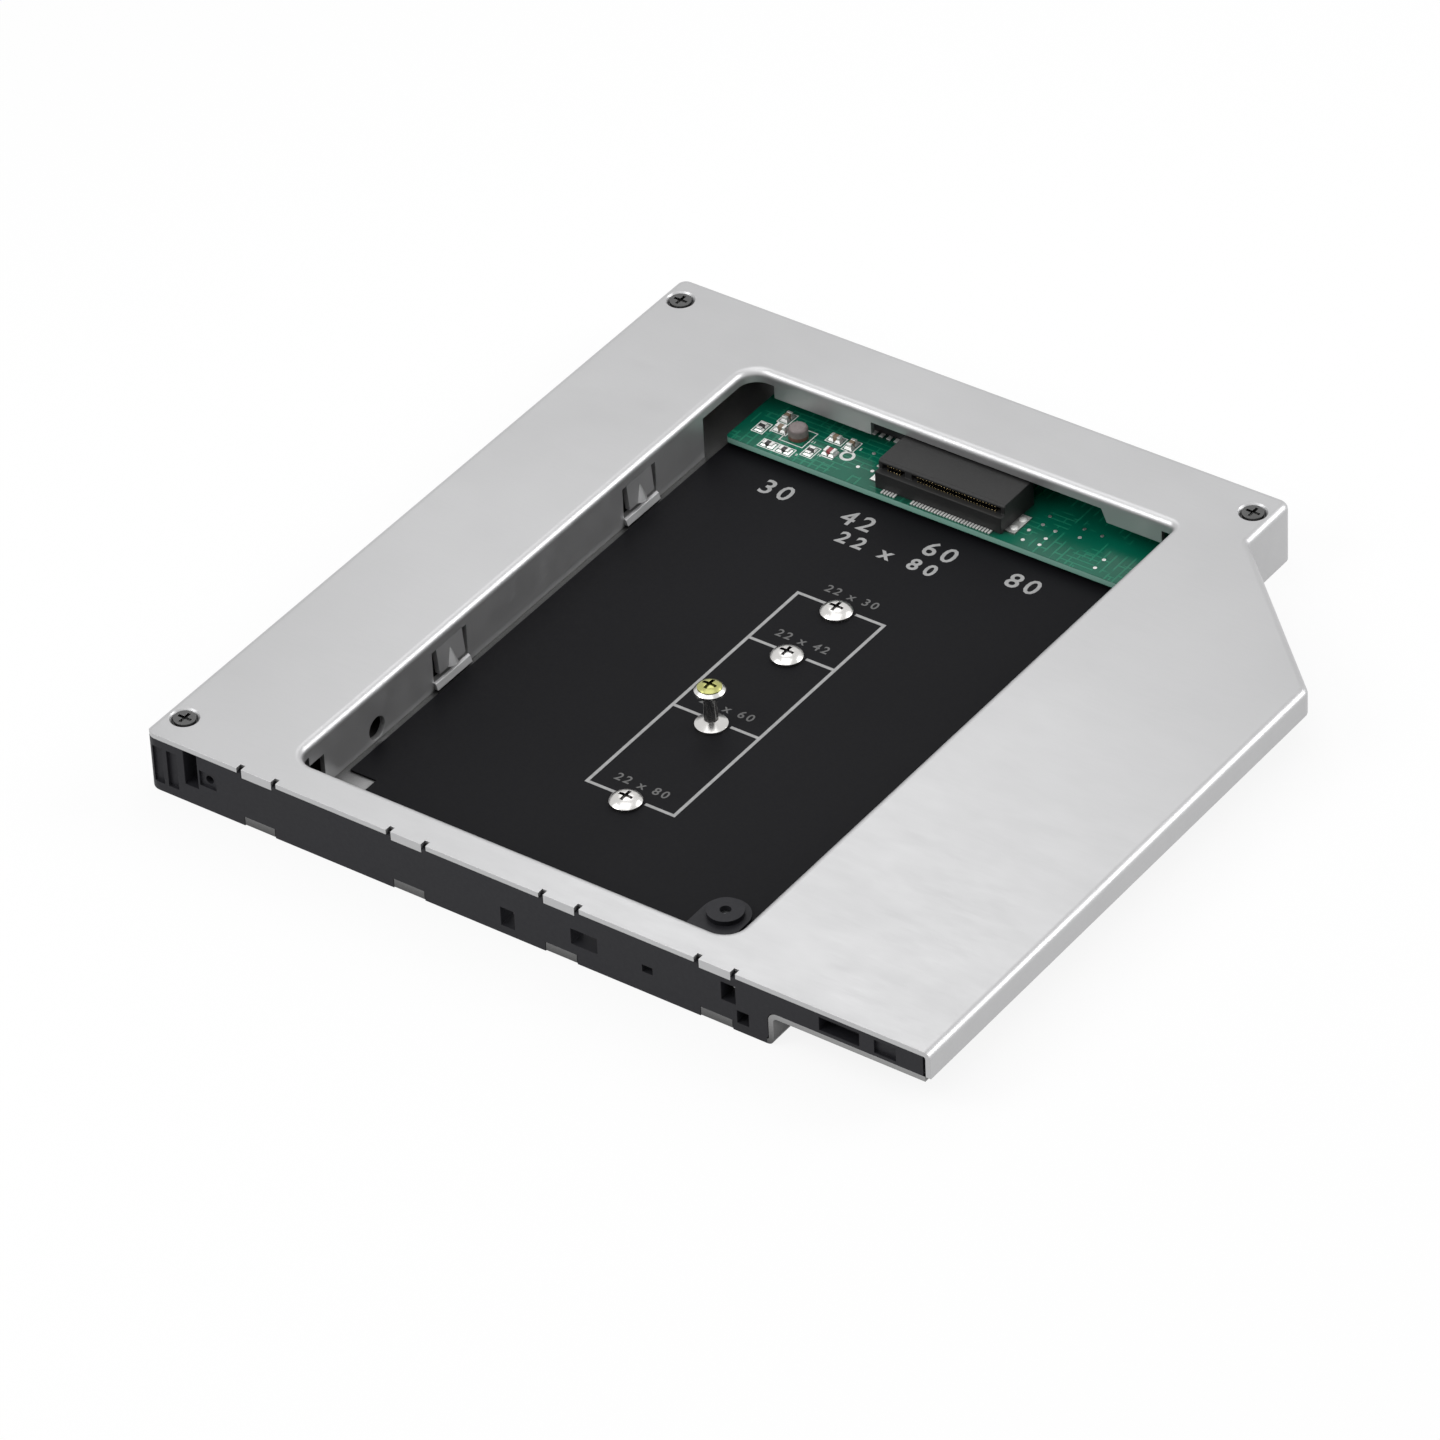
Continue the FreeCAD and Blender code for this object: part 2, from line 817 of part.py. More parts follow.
def plug_tongues():
    """Left end, width and number of contacts of the two tongues."""
    x0, x1, _, _ = plug_sizes()
    spare = (plug_width - 2 * plug_wall - signal_width - power_width) / 3
    first = x0 + plug_wall + spare
    second = first + signal_width + spare
    return [(first, signal_width, signal_count), (second, power_width, power_count)]


def rear_plug_housing():
    x0, x1, top, middle = plug_sizes()
    rear = plug_front + plug_length
    body = block(x0, x1, plug_front, rear, board_top, top)
    mouth = block(
        x0 + plug_wall, x1 - plug_wall, rear - plug_tongue_length, rear + 1,
        board_top + plug_wall, top - plug_wall,
    )
    body = cut(body, mouth)
    for start, wide, _ in plug_tongues():
        tongue = block(
            start, start + wide, rear - plug_tongue_length - touch, rear - plug_wall,
            middle - plug_tongue / 2, middle + plug_tongue / 2,
        )
        body = fuse(body, tongue)
    return body


def rear_plug_contacts():
    _, _, _, middle = plug_sizes()
    rear = plug_front + plug_length
    top = middle + plug_tongue / 2
    strips = []
    for start, wide, count in plug_tongues():
        first = start + (wide - (count - 1) * contact_pitch) / 2
        for index in range(count):
            x = first + index * contact_pitch
            half = contact_pitch / 3
            front = rear - plug_tongue_length
            strips.append(block(x - half, x + half, front, rear - 2 * plug_wall, top, top + pin_thick))
    return Part.makeCompound(strips)


# Small parts on the board

def power_inductor():
    x = board_left + inductor_left
    y = board_front + inductor_front
    body = post(x, y, board_top, board_top + inductor_height, inductor_radius)
    rim = [edge for edge in body.Edges if edge.BoundBox.ZMin > board_top + touch]
    return body.makeFillet(inductor_radius / 3, rim)


def status_led():
    x = board_left + led_left
    y = board_front + led_front
    half = led_length / 2
    side = led_width / 2
    return block(x - half, x + half, y - side, y + side, board_top, board_top + led_height)


# Chip capacitors and resistors: offsets from the board's front left corner, length, width and height of each
capacitor_list = (
    (5.1, 8.1, 0.8, 1.6, 0.8),
    (5.9, 5.4, 1.6, 0.8, 0.8),
    (13.9, 7.5, 1.6, 0.8, 0.8),
    (16.6, 7.4, 0.8, 1.6, 0.8),
)
resistor_list = (
    (3.2, 4.4, 0.8, 1.6, 0.45),
    (6.4, 1.5, 1.6, 0.8, 0.45),
    (9.2, 1.5, 1.6, 0.8, 0.45),
    (12.4, 3.2, 0.8, 1.6, 0.45),
)


def chip(x, y, length, across, tall):
    x0 = x - length / 2
    y0 = y - across / 2
    return block(x0, x0 + length, y0, y0 + across, board_top, board_top + tall)


def chips(places):
    return [
        chip(board_left + x, board_front + y, length, across, tall)
        for x, y, length, across, tall in places
    ]


def resistors():
    return Part.makeCompound(chips(resistor_list))


def capacitors():
    """Small ones at the left and a larger one behind each screw."""
    behind = board_screw_radius + buffer_screw_gap + buffer_width / 2
    buffers = [
        chip(x, y + behind, buffer_length, buffer_width, buffer_height)
        for x, y in board_screw_places()
    ]
    return Part.makeCompound(chips(capacitor_list) + buffers)


def regulator_place():
    """Middle of the space between the plug and the right screw's head."""
    plug_right = board_left + plug_side + plug_width
    screw_left = board_screw_places()[-1][0] - board_screw_radius
    return (plug_right + screw_left) / 2, board_rear - chip_rear


def regulator_body():
    x, y = regulator_place()
    return chip(x, y, chip_length, chip_width, chip_height)


def regulator_leads():
    """Three leads at the front and one broad one at the rear."""
    x, y = regulator_place()
    middle = (chip_width + lead_reach) / 2
    leads = [
        chip(x + index * lead_pitch, y - middle, lead_width, lead_reach, lead_thick)
        for index in (-1, 0, 1)
    ]
    leads.append(chip(x, y + middle, lead_pitch, lead_reach, lead_thick))
    return Part.makeCompound(leads)


# Fasteners

def insert_nuts():
    nuts = []
    for x, y in module_screw_places():
        nuts.append(cut(post(x, y, 0, film_top, nut_radius), post(x, y, -1, film_top + 1, screw_radius)))
    return Part.makeCompound(nuts)


def module_screws():
    screws = []
    for length in screw_lengths:
        y = module_edge - length
        shank = post(module_x, y, fit, film_top, screw_radius)
        screws.append(fuse(pan_head(module_x, y, film_top, head_radius, head_height), shank))
    return Part.makeCompound(screws)


def module_standoff():
    """Spool with a threaded spigot below, whose shoulder stops a module from lifting."""
    y = module_edge - standoff_length
    groove = slot_top - film_top
    top = standoff_top - film_top
    profile = [
        (0, 0),
        (head_radius, 0),
        (head_radius, head_side),
        (neck_radius, head_side + flare_height),
        (neck_radius, groove),
        (shoulder_radius, groove + shoulder_slope),
        (shoulder_radius, top - shoulder_bevel),
        (shoulder_radius - shoulder_bevel, top),
        (0, top),
    ]
    body = fuse(turned(module_x, y, film_top, profile), post(module_x, y, fit, film_top, screw_radius))
    return cut(body, post(module_x, y, standoff_top - standoff_screw_reach, height, screw_radius))


def standoff_screw():
    y = module_edge - standoff_length
    head = pan_head(
        module_x, y, standoff_top, standoff_head_radius, standoff_head_height, standoff_head_side
    )
    return fuse(head, post(module_x, y, standoff_top - standoff_screw_reach, standoff_top, screw_radius))


def threaded_post(x, y, top):
    body = fuse(post(x, y, sheet, top, spacer_radius), post(x, y, 0, sheet, spigot_radius))
    return cut(body, post(x, y, -1, height, screw_radius))


def corner_spacers():
    top = cover_under - dimple_depth
    return Part.makeCompound([threaded_post(x, y, top) for x, y in corner_screw_places()])


def corner_screws():
    screws = []
    top = height - dimple_depth + corner_head_height
    for x, y in corner_screw_places():
        head = cut(post(x, y, height - dimple_depth, top, corner_head_radius), *cross_recess(x, y, top))
        screws.append(fuse(head, post(x, y, height / 2, height - dimple_depth, screw_radius)))
    return Part.makeCompound(screws)


def board_spacers():
    return Part.makeCompound([threaded_post(x, y, board_under) for x, y in board_screw_places()])


def board_screws():
    screws = []
    for x, y in board_screw_places():
        head = pan_head(x, y, board_top, board_screw_radius, board_screw_height)
        screws.append(fuse(head, post(x, y, sheet, board_top, screw_radius)))
    return Part.makeCompound(screws)


def rail_screw():
    x, y = arm_end()
    head = Part.makeCone(rail_head_radius, screw_radius, sheet, spot(x, y, 0))
    head = cut(head, *[bar for bar in cross_recess(x, y, cross_depth)])
    return fuse(head, post(x, y, sheet, film_top + arm_height, screw_radius))


parts = {
    "top_cover": top_cover(),
    "bottom_tray": bottom_tray(),
    "front_rail": front_rail(),
    "insulating_film": insulating_film(),
    "circuit_board": circuit_board(),
    "module_socket_housing": module_socket_housing(),
    "module_socket_contacts": module_socket_contacts(),
    "socket_solder_tabs": socket_solder_tabs(),
    "rear_plug_housing": rear_plug_housing(),
    "rear_plug_contacts": rear_plug_contacts(),
    "power_inductor": power_inductor(),
    "status_led": status_led(),
    "capacitors": capacitors(),
    "resistors": resistors(),
    "regulator_body": regulator_body(),
    "regulator_leads": regulator_leads(),
    "insert_nuts": insert_nuts(),
    "module_screws": module_screws(),
    "module_standoff": module_standoff(),
    "standoff_screw": standoff_screw(),
    "board_spacers": board_spacers(),
    "board_screws": board_screws(),
    "corner_spacers": corner_spacers(),
    "corner_screws": corner_screws(),
    "rail_screw": rail_screw(),
}

os.makedirs("parts", exist_ok=True)
for name, shape in parts.items():
    shape.exportStep(os.path.join("parts", name + ".step"))
    print(name, "solids", len(shape.Solids), "volume", round(shape.Volume, 2), "valid", shape.isValid())
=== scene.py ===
"""Laptop drive caddy: finishes, printed marks, board details and the studio.

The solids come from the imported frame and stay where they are. This file gives
each one its finish, rounds the small moulded pieces, and adds the print on the
floor film, the solder, the tinned ends and the marks on the board.
"""
import math

import bmesh
import bpy
from bpy.props import FloatProperty, FloatVectorProperty, IntProperty, PointerProperty, StringProperty
from mathutils import Matrix, Vector


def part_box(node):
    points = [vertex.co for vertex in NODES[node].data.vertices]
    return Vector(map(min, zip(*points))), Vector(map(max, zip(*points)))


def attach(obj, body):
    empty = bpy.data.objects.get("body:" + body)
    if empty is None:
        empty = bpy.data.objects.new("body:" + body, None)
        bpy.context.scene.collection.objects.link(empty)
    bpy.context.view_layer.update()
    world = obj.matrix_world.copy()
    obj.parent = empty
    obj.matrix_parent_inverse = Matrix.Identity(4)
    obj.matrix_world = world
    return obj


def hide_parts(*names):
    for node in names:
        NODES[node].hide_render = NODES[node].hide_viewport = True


bl_info = {
    "name": "Laptop Drive Caddy",
    "version": (1, 0, 0),
    "blender": (4, 5, 0),
    "location": "View3D > Sidebar > Caddy",
    "description": "Finishes, printed marks, board details and studio of a laptop drive caddy",
    "category": "Object",
}

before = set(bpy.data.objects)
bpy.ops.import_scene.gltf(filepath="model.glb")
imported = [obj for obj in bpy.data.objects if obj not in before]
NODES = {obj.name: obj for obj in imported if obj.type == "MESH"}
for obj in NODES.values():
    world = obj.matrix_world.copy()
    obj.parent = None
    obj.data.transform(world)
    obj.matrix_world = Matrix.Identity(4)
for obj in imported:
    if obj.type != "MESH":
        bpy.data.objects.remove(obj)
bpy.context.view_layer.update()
MM = 0.001
BODY = "root"

# Corners closer than this are one corner
same_corner = 0.002 * MM
# A step longer than this many pitches starts a new run of contacts
run_break = 1.5

# Rounding of small edges, and the angle from which an edge counts as sharp
indicator_rounding = 0.12 * MM
capacitor_rounding = 0.05 * MM
resistor_rounding = 0.03 * MM
regulator_rounding = 0.12 * MM
tinned_rounding = 0.06 * MM
rounding_steps = 2
sharp_angle = math.radians(30)
flat_angle = math.radians(1)

# Tin and solder: skin over a chip's end, its solder's share of the height and of the reach at the top
tin_skin = 0.03 * MM
solder_rise = 0.45
solder_top_reach = 0.25
tab_drop_radius = 0.62 * MM
tab_drop_height = 0.22 * MM
socket_tail_share = 0.6
plug_tail_share = 0.5

# Plated holes: the two fields beside the socket, each from a piece to the next, and their grids
via_thick = 0.03 * MM
via_from_indicator = 4.6 * MM
via_before_socket = 2.4 * MM
via_after_socket = 3.2 * MM
via_from_edge = 5.0 * MM
via_from_front = 1.6 * MM
via_depth = 6.5 * MM
via_columns = (3, 6)
via_rows = 4
via_left_out = 0.55
via_wander = 0.5 * MM

# Marks on the board and on the film
part_number_size = 0.8 * MM
part_number_gap = 0.7 * MM
ring_hole_share = 0.6
bar_line_share = 1.5
label_shift = 0.2 * MM
title_shift = 2.6 * MM
second_shift = 1.8 * MM
letter_spacing = 1.3
second_spacing = 1.5
label_weight = 0.03 * MM
title_weight = 0.06 * MM
second_weight = 0.09 * MM

# Share of a small part's height that is its foot, in a colour of its own
foot_share = 0.3
# Depth and density of the texture on finely moulded plastic
fine_pits = (0.004 * MM, 2600.0)
# Painted shade in the recesses of the cover and the tray: its reach, and the openness between which it
# fades
cover_shade = (1.6 * MM, 0.15, 0.5)
tray_shade = (8.0 * MM, 0.45, 0.95)
# Near-black that the painted shade in recesses darkens a colour towards
painted_shade_color = (0.01, 0.01, 0.01)

# Softboxes: name, place, side and the studio value that holds the power
softboxes = (
    ("overhead softbox", (0.1, -0.25, 0.9), 0.8, "key_light"),
    ("near softbox", (-0.09, 0.11, 0.22), 0.14, "front_light"),
    ("rear right softbox", (0.396, 0.413, 0.309), 0.32, "rear_light"),
    ("front left softbox", (-0.31, -0.395, 0.412), 0.32, "left_light"),
)
floor_glow = 0.88
floor_grey = 0.9
sensor_width = 36.0
nearest_seen = 0.05


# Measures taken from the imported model

def merged_copy(node):
    """Editable copy of a node's mesh with its loose triangles joined."""
    mesh = bmesh.new()
    mesh.from_mesh(NODES[node].data)
    bmesh.ops.remove_doubles(mesh, verts=mesh.verts, dist=same_corner)
    return mesh


def loose_solids(node):
    """Lowest and highest corner of each separate solid in a node, from left to right."""
    mesh = merged_copy(node)
    unseen = set(mesh.verts)
    found = []
    while unseen:
        group = [unseen.pop()]
        for vertex in group:
            for link in vertex.link_edges:
                other = link.other_vert(vertex)
                if other in unseen:
                    unseen.remove(other)
                    group.append(other)
        low = Vector([min(vertex.co[axis] for vertex in group) for axis in range(3)])
        high = Vector([max(vertex.co[axis] for vertex in group) for axis in range(3)])
        found.append((low, high))
    mesh.free()
    return sorted(found, key=lambda pair: (round(pair[0].x, 5), round(pair[0].y, 5)))


def middle(pair):
    return (pair[0] + pair[1]) / 2


def nut_places():
    """Top middle of each threaded place, from the rear one forwards."""
    places = [Vector((*middle(pair).xy, pair[1].z)) for pair in loose_solids("insert_nuts")]
    return sorted(places, key=lambda place: -place.y)


def even_runs(places):
    """First place, pitch and count of each evenly spaced run of contacts."""
    places = sorted(places)
    pitch = min(after - here for here, after in zip(places, places[1:]))
    runs = [[places[0]]]
    for here, after in zip(places, places[1:]):
        if after - here > run_break * pitch:
            runs.append([])
        runs[-1].append(after)
    return [(run[0], pitch, len(run)) for run in runs]


# Node trees

class Tree:
    """Short way to add and join nodes in a material's or a modifier's tree."""

    def __init__(self, tree):
        self.tree = tree

    def add(self, kind, settings=None, **inputs):
        node = self.tree.nodes.new(kind)
        for name, value in (settings or {}).items():
            setattr(node, name, value)
        for name, value in inputs.items():
            self.feed(node, name.replace("_", " "), value)
        return node

    def feed(self, node, name, value):
        """Links or sets an input, which is named or given as # and its number."""
        socket = node.inputs[int(name[1:])] if name[0] == "#" else node.inputs[name]
        if isinstance(value, bpy.types.NodeSocket):
            self.tree.links.new(value, socket)
        else:
            socket.default_value = value

    def math(self, operation, first, second=0.0):
        inputs = {"#0": first, "#1": second}
        return self.add("ShaderNodeMath", {"operation": operation}, **inputs).outputs[0]


def empty_tree(owner):
    """Node tree of a material or world with nothing in it yet."""
    owner.use_nodes = True
    owner.node_tree.nodes.clear()
    return Tree(owner.node_tree)


def new_object(name, data):
    obj = bpy.data.objects.new(name, data)
    bpy.context.scene.collection.objects.link(obj)
    return obj


def new_group(name, inputs):
    """Geometry node tree with named inputs, its input node and a way to end it."""
    group = bpy.data.node_groups.new(name, "GeometryNodeTree")
    group.interface.new_socket("Geometry", in_out="INPUT", socket_type="NodeSocketGeometry")
    for label, kind in inputs:
        group.interface.new_socket(label, in_out="INPUT", socket_type="NodeSocket" + kind)
    group.interface.new_socket("Material", in_out="INPUT", socket_type="NodeSocketMaterial")
    group.interface.new_socket("Geometry", in_out="OUTPUT", socket_type="NodeSocketGeometry")
    tree = Tree(group)
    return group, tree, tree.add("NodeGroupInput").outputs


def end_group(tree, given, instances):
    real = tree.add("GeometryNodeRealizeInstances", Geometry=instances)
    dressed = tree.add("GeometryNodeSetMaterial", Geometry=real.outputs[0], Material=given["Material"])
    tree.add("NodeGroupOutput", Geometry=dressed.outputs[0])


def row_group():
    """Straight row of equal blocks along the width."""
    group, tree, given = new_group("block row", (
        ("Count", "Int"), ("First", "Vector"), ("Pitch", "Float"), ("Size", "Vector"),
    ))
    step = tree.add("ShaderNodeCombineXYZ", X=given["Pitch"])
    line = tree.add(
        "GeometryNodeMeshLine", {"mode": "OFFSET"},
        Count=given["Count"], Start_Location=given["First"], Offset=step.outputs[0],
    )
    cube = tree.add("GeometryNodeMeshCube", Size=given["Size"])
    blocks = tree.add("GeometryNodeInstanceOnPoints", Points=line.outputs[0], Instance=cube.outputs[0])
    end_group(tree, given, blocks.outputs[0])
    return group


def disc_field_group():
    """Field of small discs on a grid, with some left out and the rest moved a little."""
    group, tree, given = new_group("disc field", (
        ("Centre", "Vector"), ("Width", "Float"), ("Depth", "Float"),
        ("Columns", "Int"), ("Rows", "Int"), ("Radius", "Float"), ("Height", "Float"),
        ("Left Out", "Float"), ("Wander", "Float"), ("Seed", "Int"),
    ))
    grid = tree.add(
        "GeometryNodeMeshGrid", Size_X=given["Width"], Size_Y=given["Depth"],
        Vertices_X=given["Columns"], Vertices_Y=given["Rows"],
    )
    chance = tree.add("FunctionNodeRandomValue", {"data_type": "BOOLEAN"}, Seed=given["Seed"])
    tree.feed(chance, "Probability", given["Left Out"])
    kept = tree.add("GeometryNodeDeleteGeometry", Geometry=grid.outputs[0], Selection=chance.outputs[3])
    least = tree.math("MULTIPLY", given["Wander"], -1.0)
    shift = tree.add("ShaderNodeCombineXYZ")
    for axis, extra in (("X", 1), ("Y", 2)):
        seed = tree.math("ADD", given["Seed"], extra)
        random = tree.add("FunctionNodeRandomValue", {"data_type": "FLOAT"}, Seed=seed)
        tree.feed(random, "#2", least)
        tree.feed(random, "#3", given["Wander"])
        tree.feed(shift, axis, random.outputs[1])
    moved = tree.add("GeometryNodeSetPosition", Geometry=kept.outputs[0], Offset=shift.outputs[0])
    placed = tree.add("GeometryNodeTransform", Geometry=moved.outputs[0], Translation=given["Centre"])
    disc = tree.add(
        "GeometryNodeMeshCylinder", Vertices=14, Radius=given["Radius"], Depth=given["Height"]
    )
    discs = tree.add("GeometryNodeInstanceOnPoints", Points=placed.outputs[0], Instance=disc.outputs[0])
    end_group(tree, given, discs.outputs[0])
    return group


def drop_group():
    """Flattened round drop on each point that it is given."""
    group, tree, given = new_group("drops", (("Radius", "Float"), ("Height", "Float")))
    ball = tree.add("GeometryNodeMeshUVSphere", Segments=20, Rings=12, Radius=given["Radius"])
    flatness = tree.math("DIVIDE", given["Height"], given["Radius"])
    scale = tree.add("ShaderNodeCombineXYZ", X=1.0, Y=1.0, Z=flatness)
    flat = tree.add("GeometryNodeTransform", Geometry=ball.outputs[0], Scale=scale.outputs[0])
    drops = tree.add("GeometryNodeInstanceOnPoints", Points=given["Geometry"], Instance=flat.outputs[0])
    end_group(tree, given, drops.outputs[0])
    return group


def grow(mesh, group, points=(), **values):
    """Adds what a geometry node tree makes to a mesh being built."""
    base = bpy.data.meshes.new(group.name)
    base.from_pydata(points, [], [])
    holder = new_object(group.name, base)
    modifier = holder.modifiers.new("growth", "NODES")
    modifier.node_group = group
    for item in group.interface.items_tree:
        name = item.name.replace(" ", "_")
        if item.in_out == "INPUT" and name in values:
            modifier[item.identifier] = values[name]
    take_result(mesh, holder)
    holder.modifiers.remove(modifier)
    bpy.data.objects.remove(holder)
    bpy.data.meshes.remove(base)


def take_result(mesh, holder, place=(0, 0, 0)):
    """Adds an object's evaluated shape, moved to a place, to a mesh being built."""
    depsgraph = bpy.context.evaluated_depsgraph_get()
    result = bpy.data.meshes.new_from_object(holder.evaluated_get(depsgraph))
    result.transform(Matrix.Translation(place))
    mesh.from_mesh(result)
    bpy.data.meshes.remove(result)


# Materials

def new_material(name):
    material = bpy.data.materials.new(name)
    tree = empty_tree(material)
    shader = tree.add("ShaderNodeBsdfPrincipled")
    tree.add("ShaderNodeOutputMaterial", Surface=shader.outputs[0])
    place = tree.add("ShaderNodeTexCoord").outputs["Object"]
    return material, tree, shader, place


def noise(tree, place, scale, detail=2.0, stretch=(1, 1, 1)):
    mapping = tree.add("ShaderNodeMapping", Vector=place, Scale=stretch)
    return tree.add(
        "ShaderNodeTexNoise", Vector=mapping.outputs[0], Scale=scale, Detail=detail
    ).outputs["Fac"]


def spread(tree, value, low, high, start=0.3, stop=0.7):
    """Widens or turns the part of a value between start and stop to run from low to high."""
    node = tree.add("ShaderNodeMapRange", Value=value)
    for name, number in (("From Min", start), ("From Max", stop), ("To Min", low), ("To Max", high)):
        tree.feed(node, name, number)
    return node.outputs[0]


def blend(tree, share, first, second):
    """Mix of two colours, each a tuple or another node's colour."""
    mix = tree.add("ShaderNodeMix", {"data_type": "RGBA"})
    tree.feed(mix, "Factor", share)
    for number, color in (("#6", first), ("#7", second)):
        tree.feed(mix, number, color if isinstance(color, bpy.types.NodeSocket) else (*color, 1))
    return mix.outputs[2]


def shades(color, vary):
    dark = [part * (1 - vary) for part in color]
    light = [min(part * (1 + vary), 1.0) for part in color]
    return dark, light


def relief(tree, shader, height, depth, edge):
    """Fine relief, over edges that are softened by a small radius."""
    bevel = tree.add("ShaderNodeBevel", {"samples": 4}, Radius=edge)
    bump = tree.add(
        "ShaderNodeBump", Strength=1.0, Distance=depth, Height=height, Normal=bevel.outputs[0]
    )
    tree.feed(shader, "Normal", bump.outputs[0])


def above(tree, place, level, soft=0.02 * MM):
    """0 below a height and 1 above it."""
    height = tree.add("ShaderNodeSeparateXYZ", Vector=place).outputs["Z"]
    return spread(tree, height, 0.0, 1.0, level - soft, level + soft)


def crevice(tree, color, dark_share, reach, start=0.35, stop=0.85):
    """Paints shade into a colour in recesses and close corners, darker the more closed in they are."""
    nook = tree.add("ShaderNodeAmbientOcclusion", {"samples": 8}, Distance=reach).outputs["AO"]
    # Painted shade: the colour fades to near-black where ambient occlusion finds the surface closed in
    return blend(tree, spread(tree, nook, dark_share, 0.0, start, stop), color, painted_shade_color)


def sheet_metal(name, color, rough, reach, start, stop):
    """Satin aluminium sheet: soft clouds, a faint rolling grain, a few shallow rubs and painted shade in
    its recesses.
    """
    material, tree, shader, place = new_material(name)
    clouds = noise(tree, place, 45.0, 3.0)
    grain = noise(tree, place, 3200.0, 3.0, (0.12, 1, 1))
    rubs = noise(tree, place, 260.0, 5.0, (0.5, 1.4, 1))
    dark, light = shades(color, 0.025)
    metal = blend(tree, spread(tree, clouds, 0, 1), dark, light)
    # Painted shade: the sheet's colour is darkened in its recesses, slits and close corners
    tree.feed(shader, "Base Color", crevice(tree, metal, 0.9, reach, start, stop))
    worn = spread(tree, rubs, rough * 0.92, rough * 1.1)
    tree.feed(shader, "Roughness", tree.math("ADD", worn, spread(tree, grain, -0.03, 0.03)))
    shader.inputs["Metallic"].default_value = 0.8
    shader.inputs["Specular IOR Level"].default_value = 0.5
    relief(tree, shader, grain, 0.0012 * MM, 0.09 * MM)
    return material


def moulded(name, color, rough, specular, depth=0.008 * MM, scale=1700.0, edge=0.07 * MM):
    """Moulded plastic with a fine even texture, smoother where it has been touched."""
    material, tree, shader, place = new_material(name)
    clouds = noise(tree, place, 70.0, 4.0)
    pits = noise(tree, place, scale, 5.0)
    dark, light = shades(color, 0.12)
    tree.feed(shader, "Base Color", blend(tree, spread(tree, clouds, 0, 1), dark, light))
    touched = spread(tree, clouds, rough * 0.9, rough * 1.08)
    tree.feed(shader, "Roughness", tree.math("ADD", touched, spread(tree, pits, -0.04, 0.04)))
    shader.inputs["Specular IOR Level"].default_value = specular
    relief(tree, shader, pits, depth, edge)
    return material


def film_sheet(name, color):
    """Thin black film: satin, with slow waves where it doesn't lie quite flat."""
    material, tree, shader, place = new_material(name)
    waves = noise(tree, place, 38.0, 1.0, (1, 0.6, 1))
    grain = noise(tree, place, 2600.0, 3.0)
    dark, light = shades(color, 0.08)
    tree.feed(shader, "Base Color", blend(tree, spread(tree, waves, 0, 1), dark, light))
    tree.feed(shader, "Roughness", spread(tree, grain, 0.44, 0.54))
    shader.inputs["Specular IOR Level"].default_value = 0.05
    height = tree.math("ADD", tree.math("MULTIPLY", waves, 12.0), grain)
    relief(tree, shader, height, 0.003 * MM, 0.05 * MM)
    return material


def plated(name, color, rough, vary=0.04, shade=0.85, metallic=1.0):
    """Plated or turned metal with faint tool marks, uneven gloss and painted shade in its recesses."""
    material, tree, shader, place = new_material(name)
    clouds = noise(tree, place, 380.0, 4.0)
    marks = noise(tree, place, 5200.0, 2.0, (1, 1, 0.35))
    dark, light = shades(color, vary)
    metal = blend(tree, spread(tree, clouds, 0, 1), dark, light)
    # Painted shade: the metal's colour is darkened where it is closed in, such as in screw recesses
    tree.feed(shader, "Base Color", crevice(tree, metal, shade, 0.9 * MM))
    tree.feed(shader, "Roughness", spread(tree, clouds, rough * 0.8, rough * 1.2))
    shader.inputs["Metallic"].default_value = metallic
    relief(tree, shader, marks, 0.0025 * MM, 0.05 * MM)
    return material


def solder_mask(name, board):
    """Green mask over copper tracks, with the cut edge of the board left bare, and painted shade where the
    board is closed in.
    """
    material, tree, shader, place = new_material(name)
    low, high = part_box("circuit_board")
    turned = tree.add("ShaderNodeMapping", Vector=place, Rotation=(0, 0, math.radians(90)))
    tracks = None
    for vector, scale, seed in ((place, 330.0, 21.0), (turned.outputs[0], 260.0, 34.0)):
        brick = tree.add(
            "ShaderNodeTexBrick", {"offset": 0.37, "squash": 1.6}, Vector=vector, Scale=scale,
            Mortar_Size=0.035, Mortar_Smooth=0.1, Brick_Width=1.3, Row_Height=0.34,
        ).outputs["Fac"]
        where = spread(tree, noise(tree, vector, 160.0 + seed, 1.0), 0, 1, 0.5, 0.54)
        lines = tree.math("MULTIPLY", brick, where)
        tracks = lines if tracks is None else tree.math("MAXIMUM", tracks, lines)
    clouds = noise(tree, place, 120.0, 3.0)
    dark, light = shades(board.mask_color, 0.14)
    mask = blend(tree, spread(tree, clouds, 0, 1), dark, light)
    mask = blend(tree, tree.math("MULTIPLY", tracks, 0.55), mask, board.track_color)
    face = tree.math(
        "MAXIMUM", above(tree, place, high.z - 0.06 * MM),
        tree.math("SUBTRACT", 1.0, above(tree, place, low.z + 0.06 * MM)),
    )
    # Painted shade: mask and edge are darkened near tall parts and under the cover's lip
    shaded = crevice(tree, blend(tree, face, board.edge_color, mask), 0.75, 3.0 * MM)
    tree.feed(shader, "Base Color", shaded)
    tree.feed(shader, "Roughness", spread(tree, face, 0.75, 0.3, 0, 1))
    shader.inputs["Specular IOR Level"].default_value = 0.35
    weave = noise(tree, place, 2400.0, 2.0)
    height = tree.math("ADD", tree.math("MULTIPLY", tracks, 4.0), weave)
    relief(tree, shader, height, 0.004 * MM, 0.04 * MM)
    return material


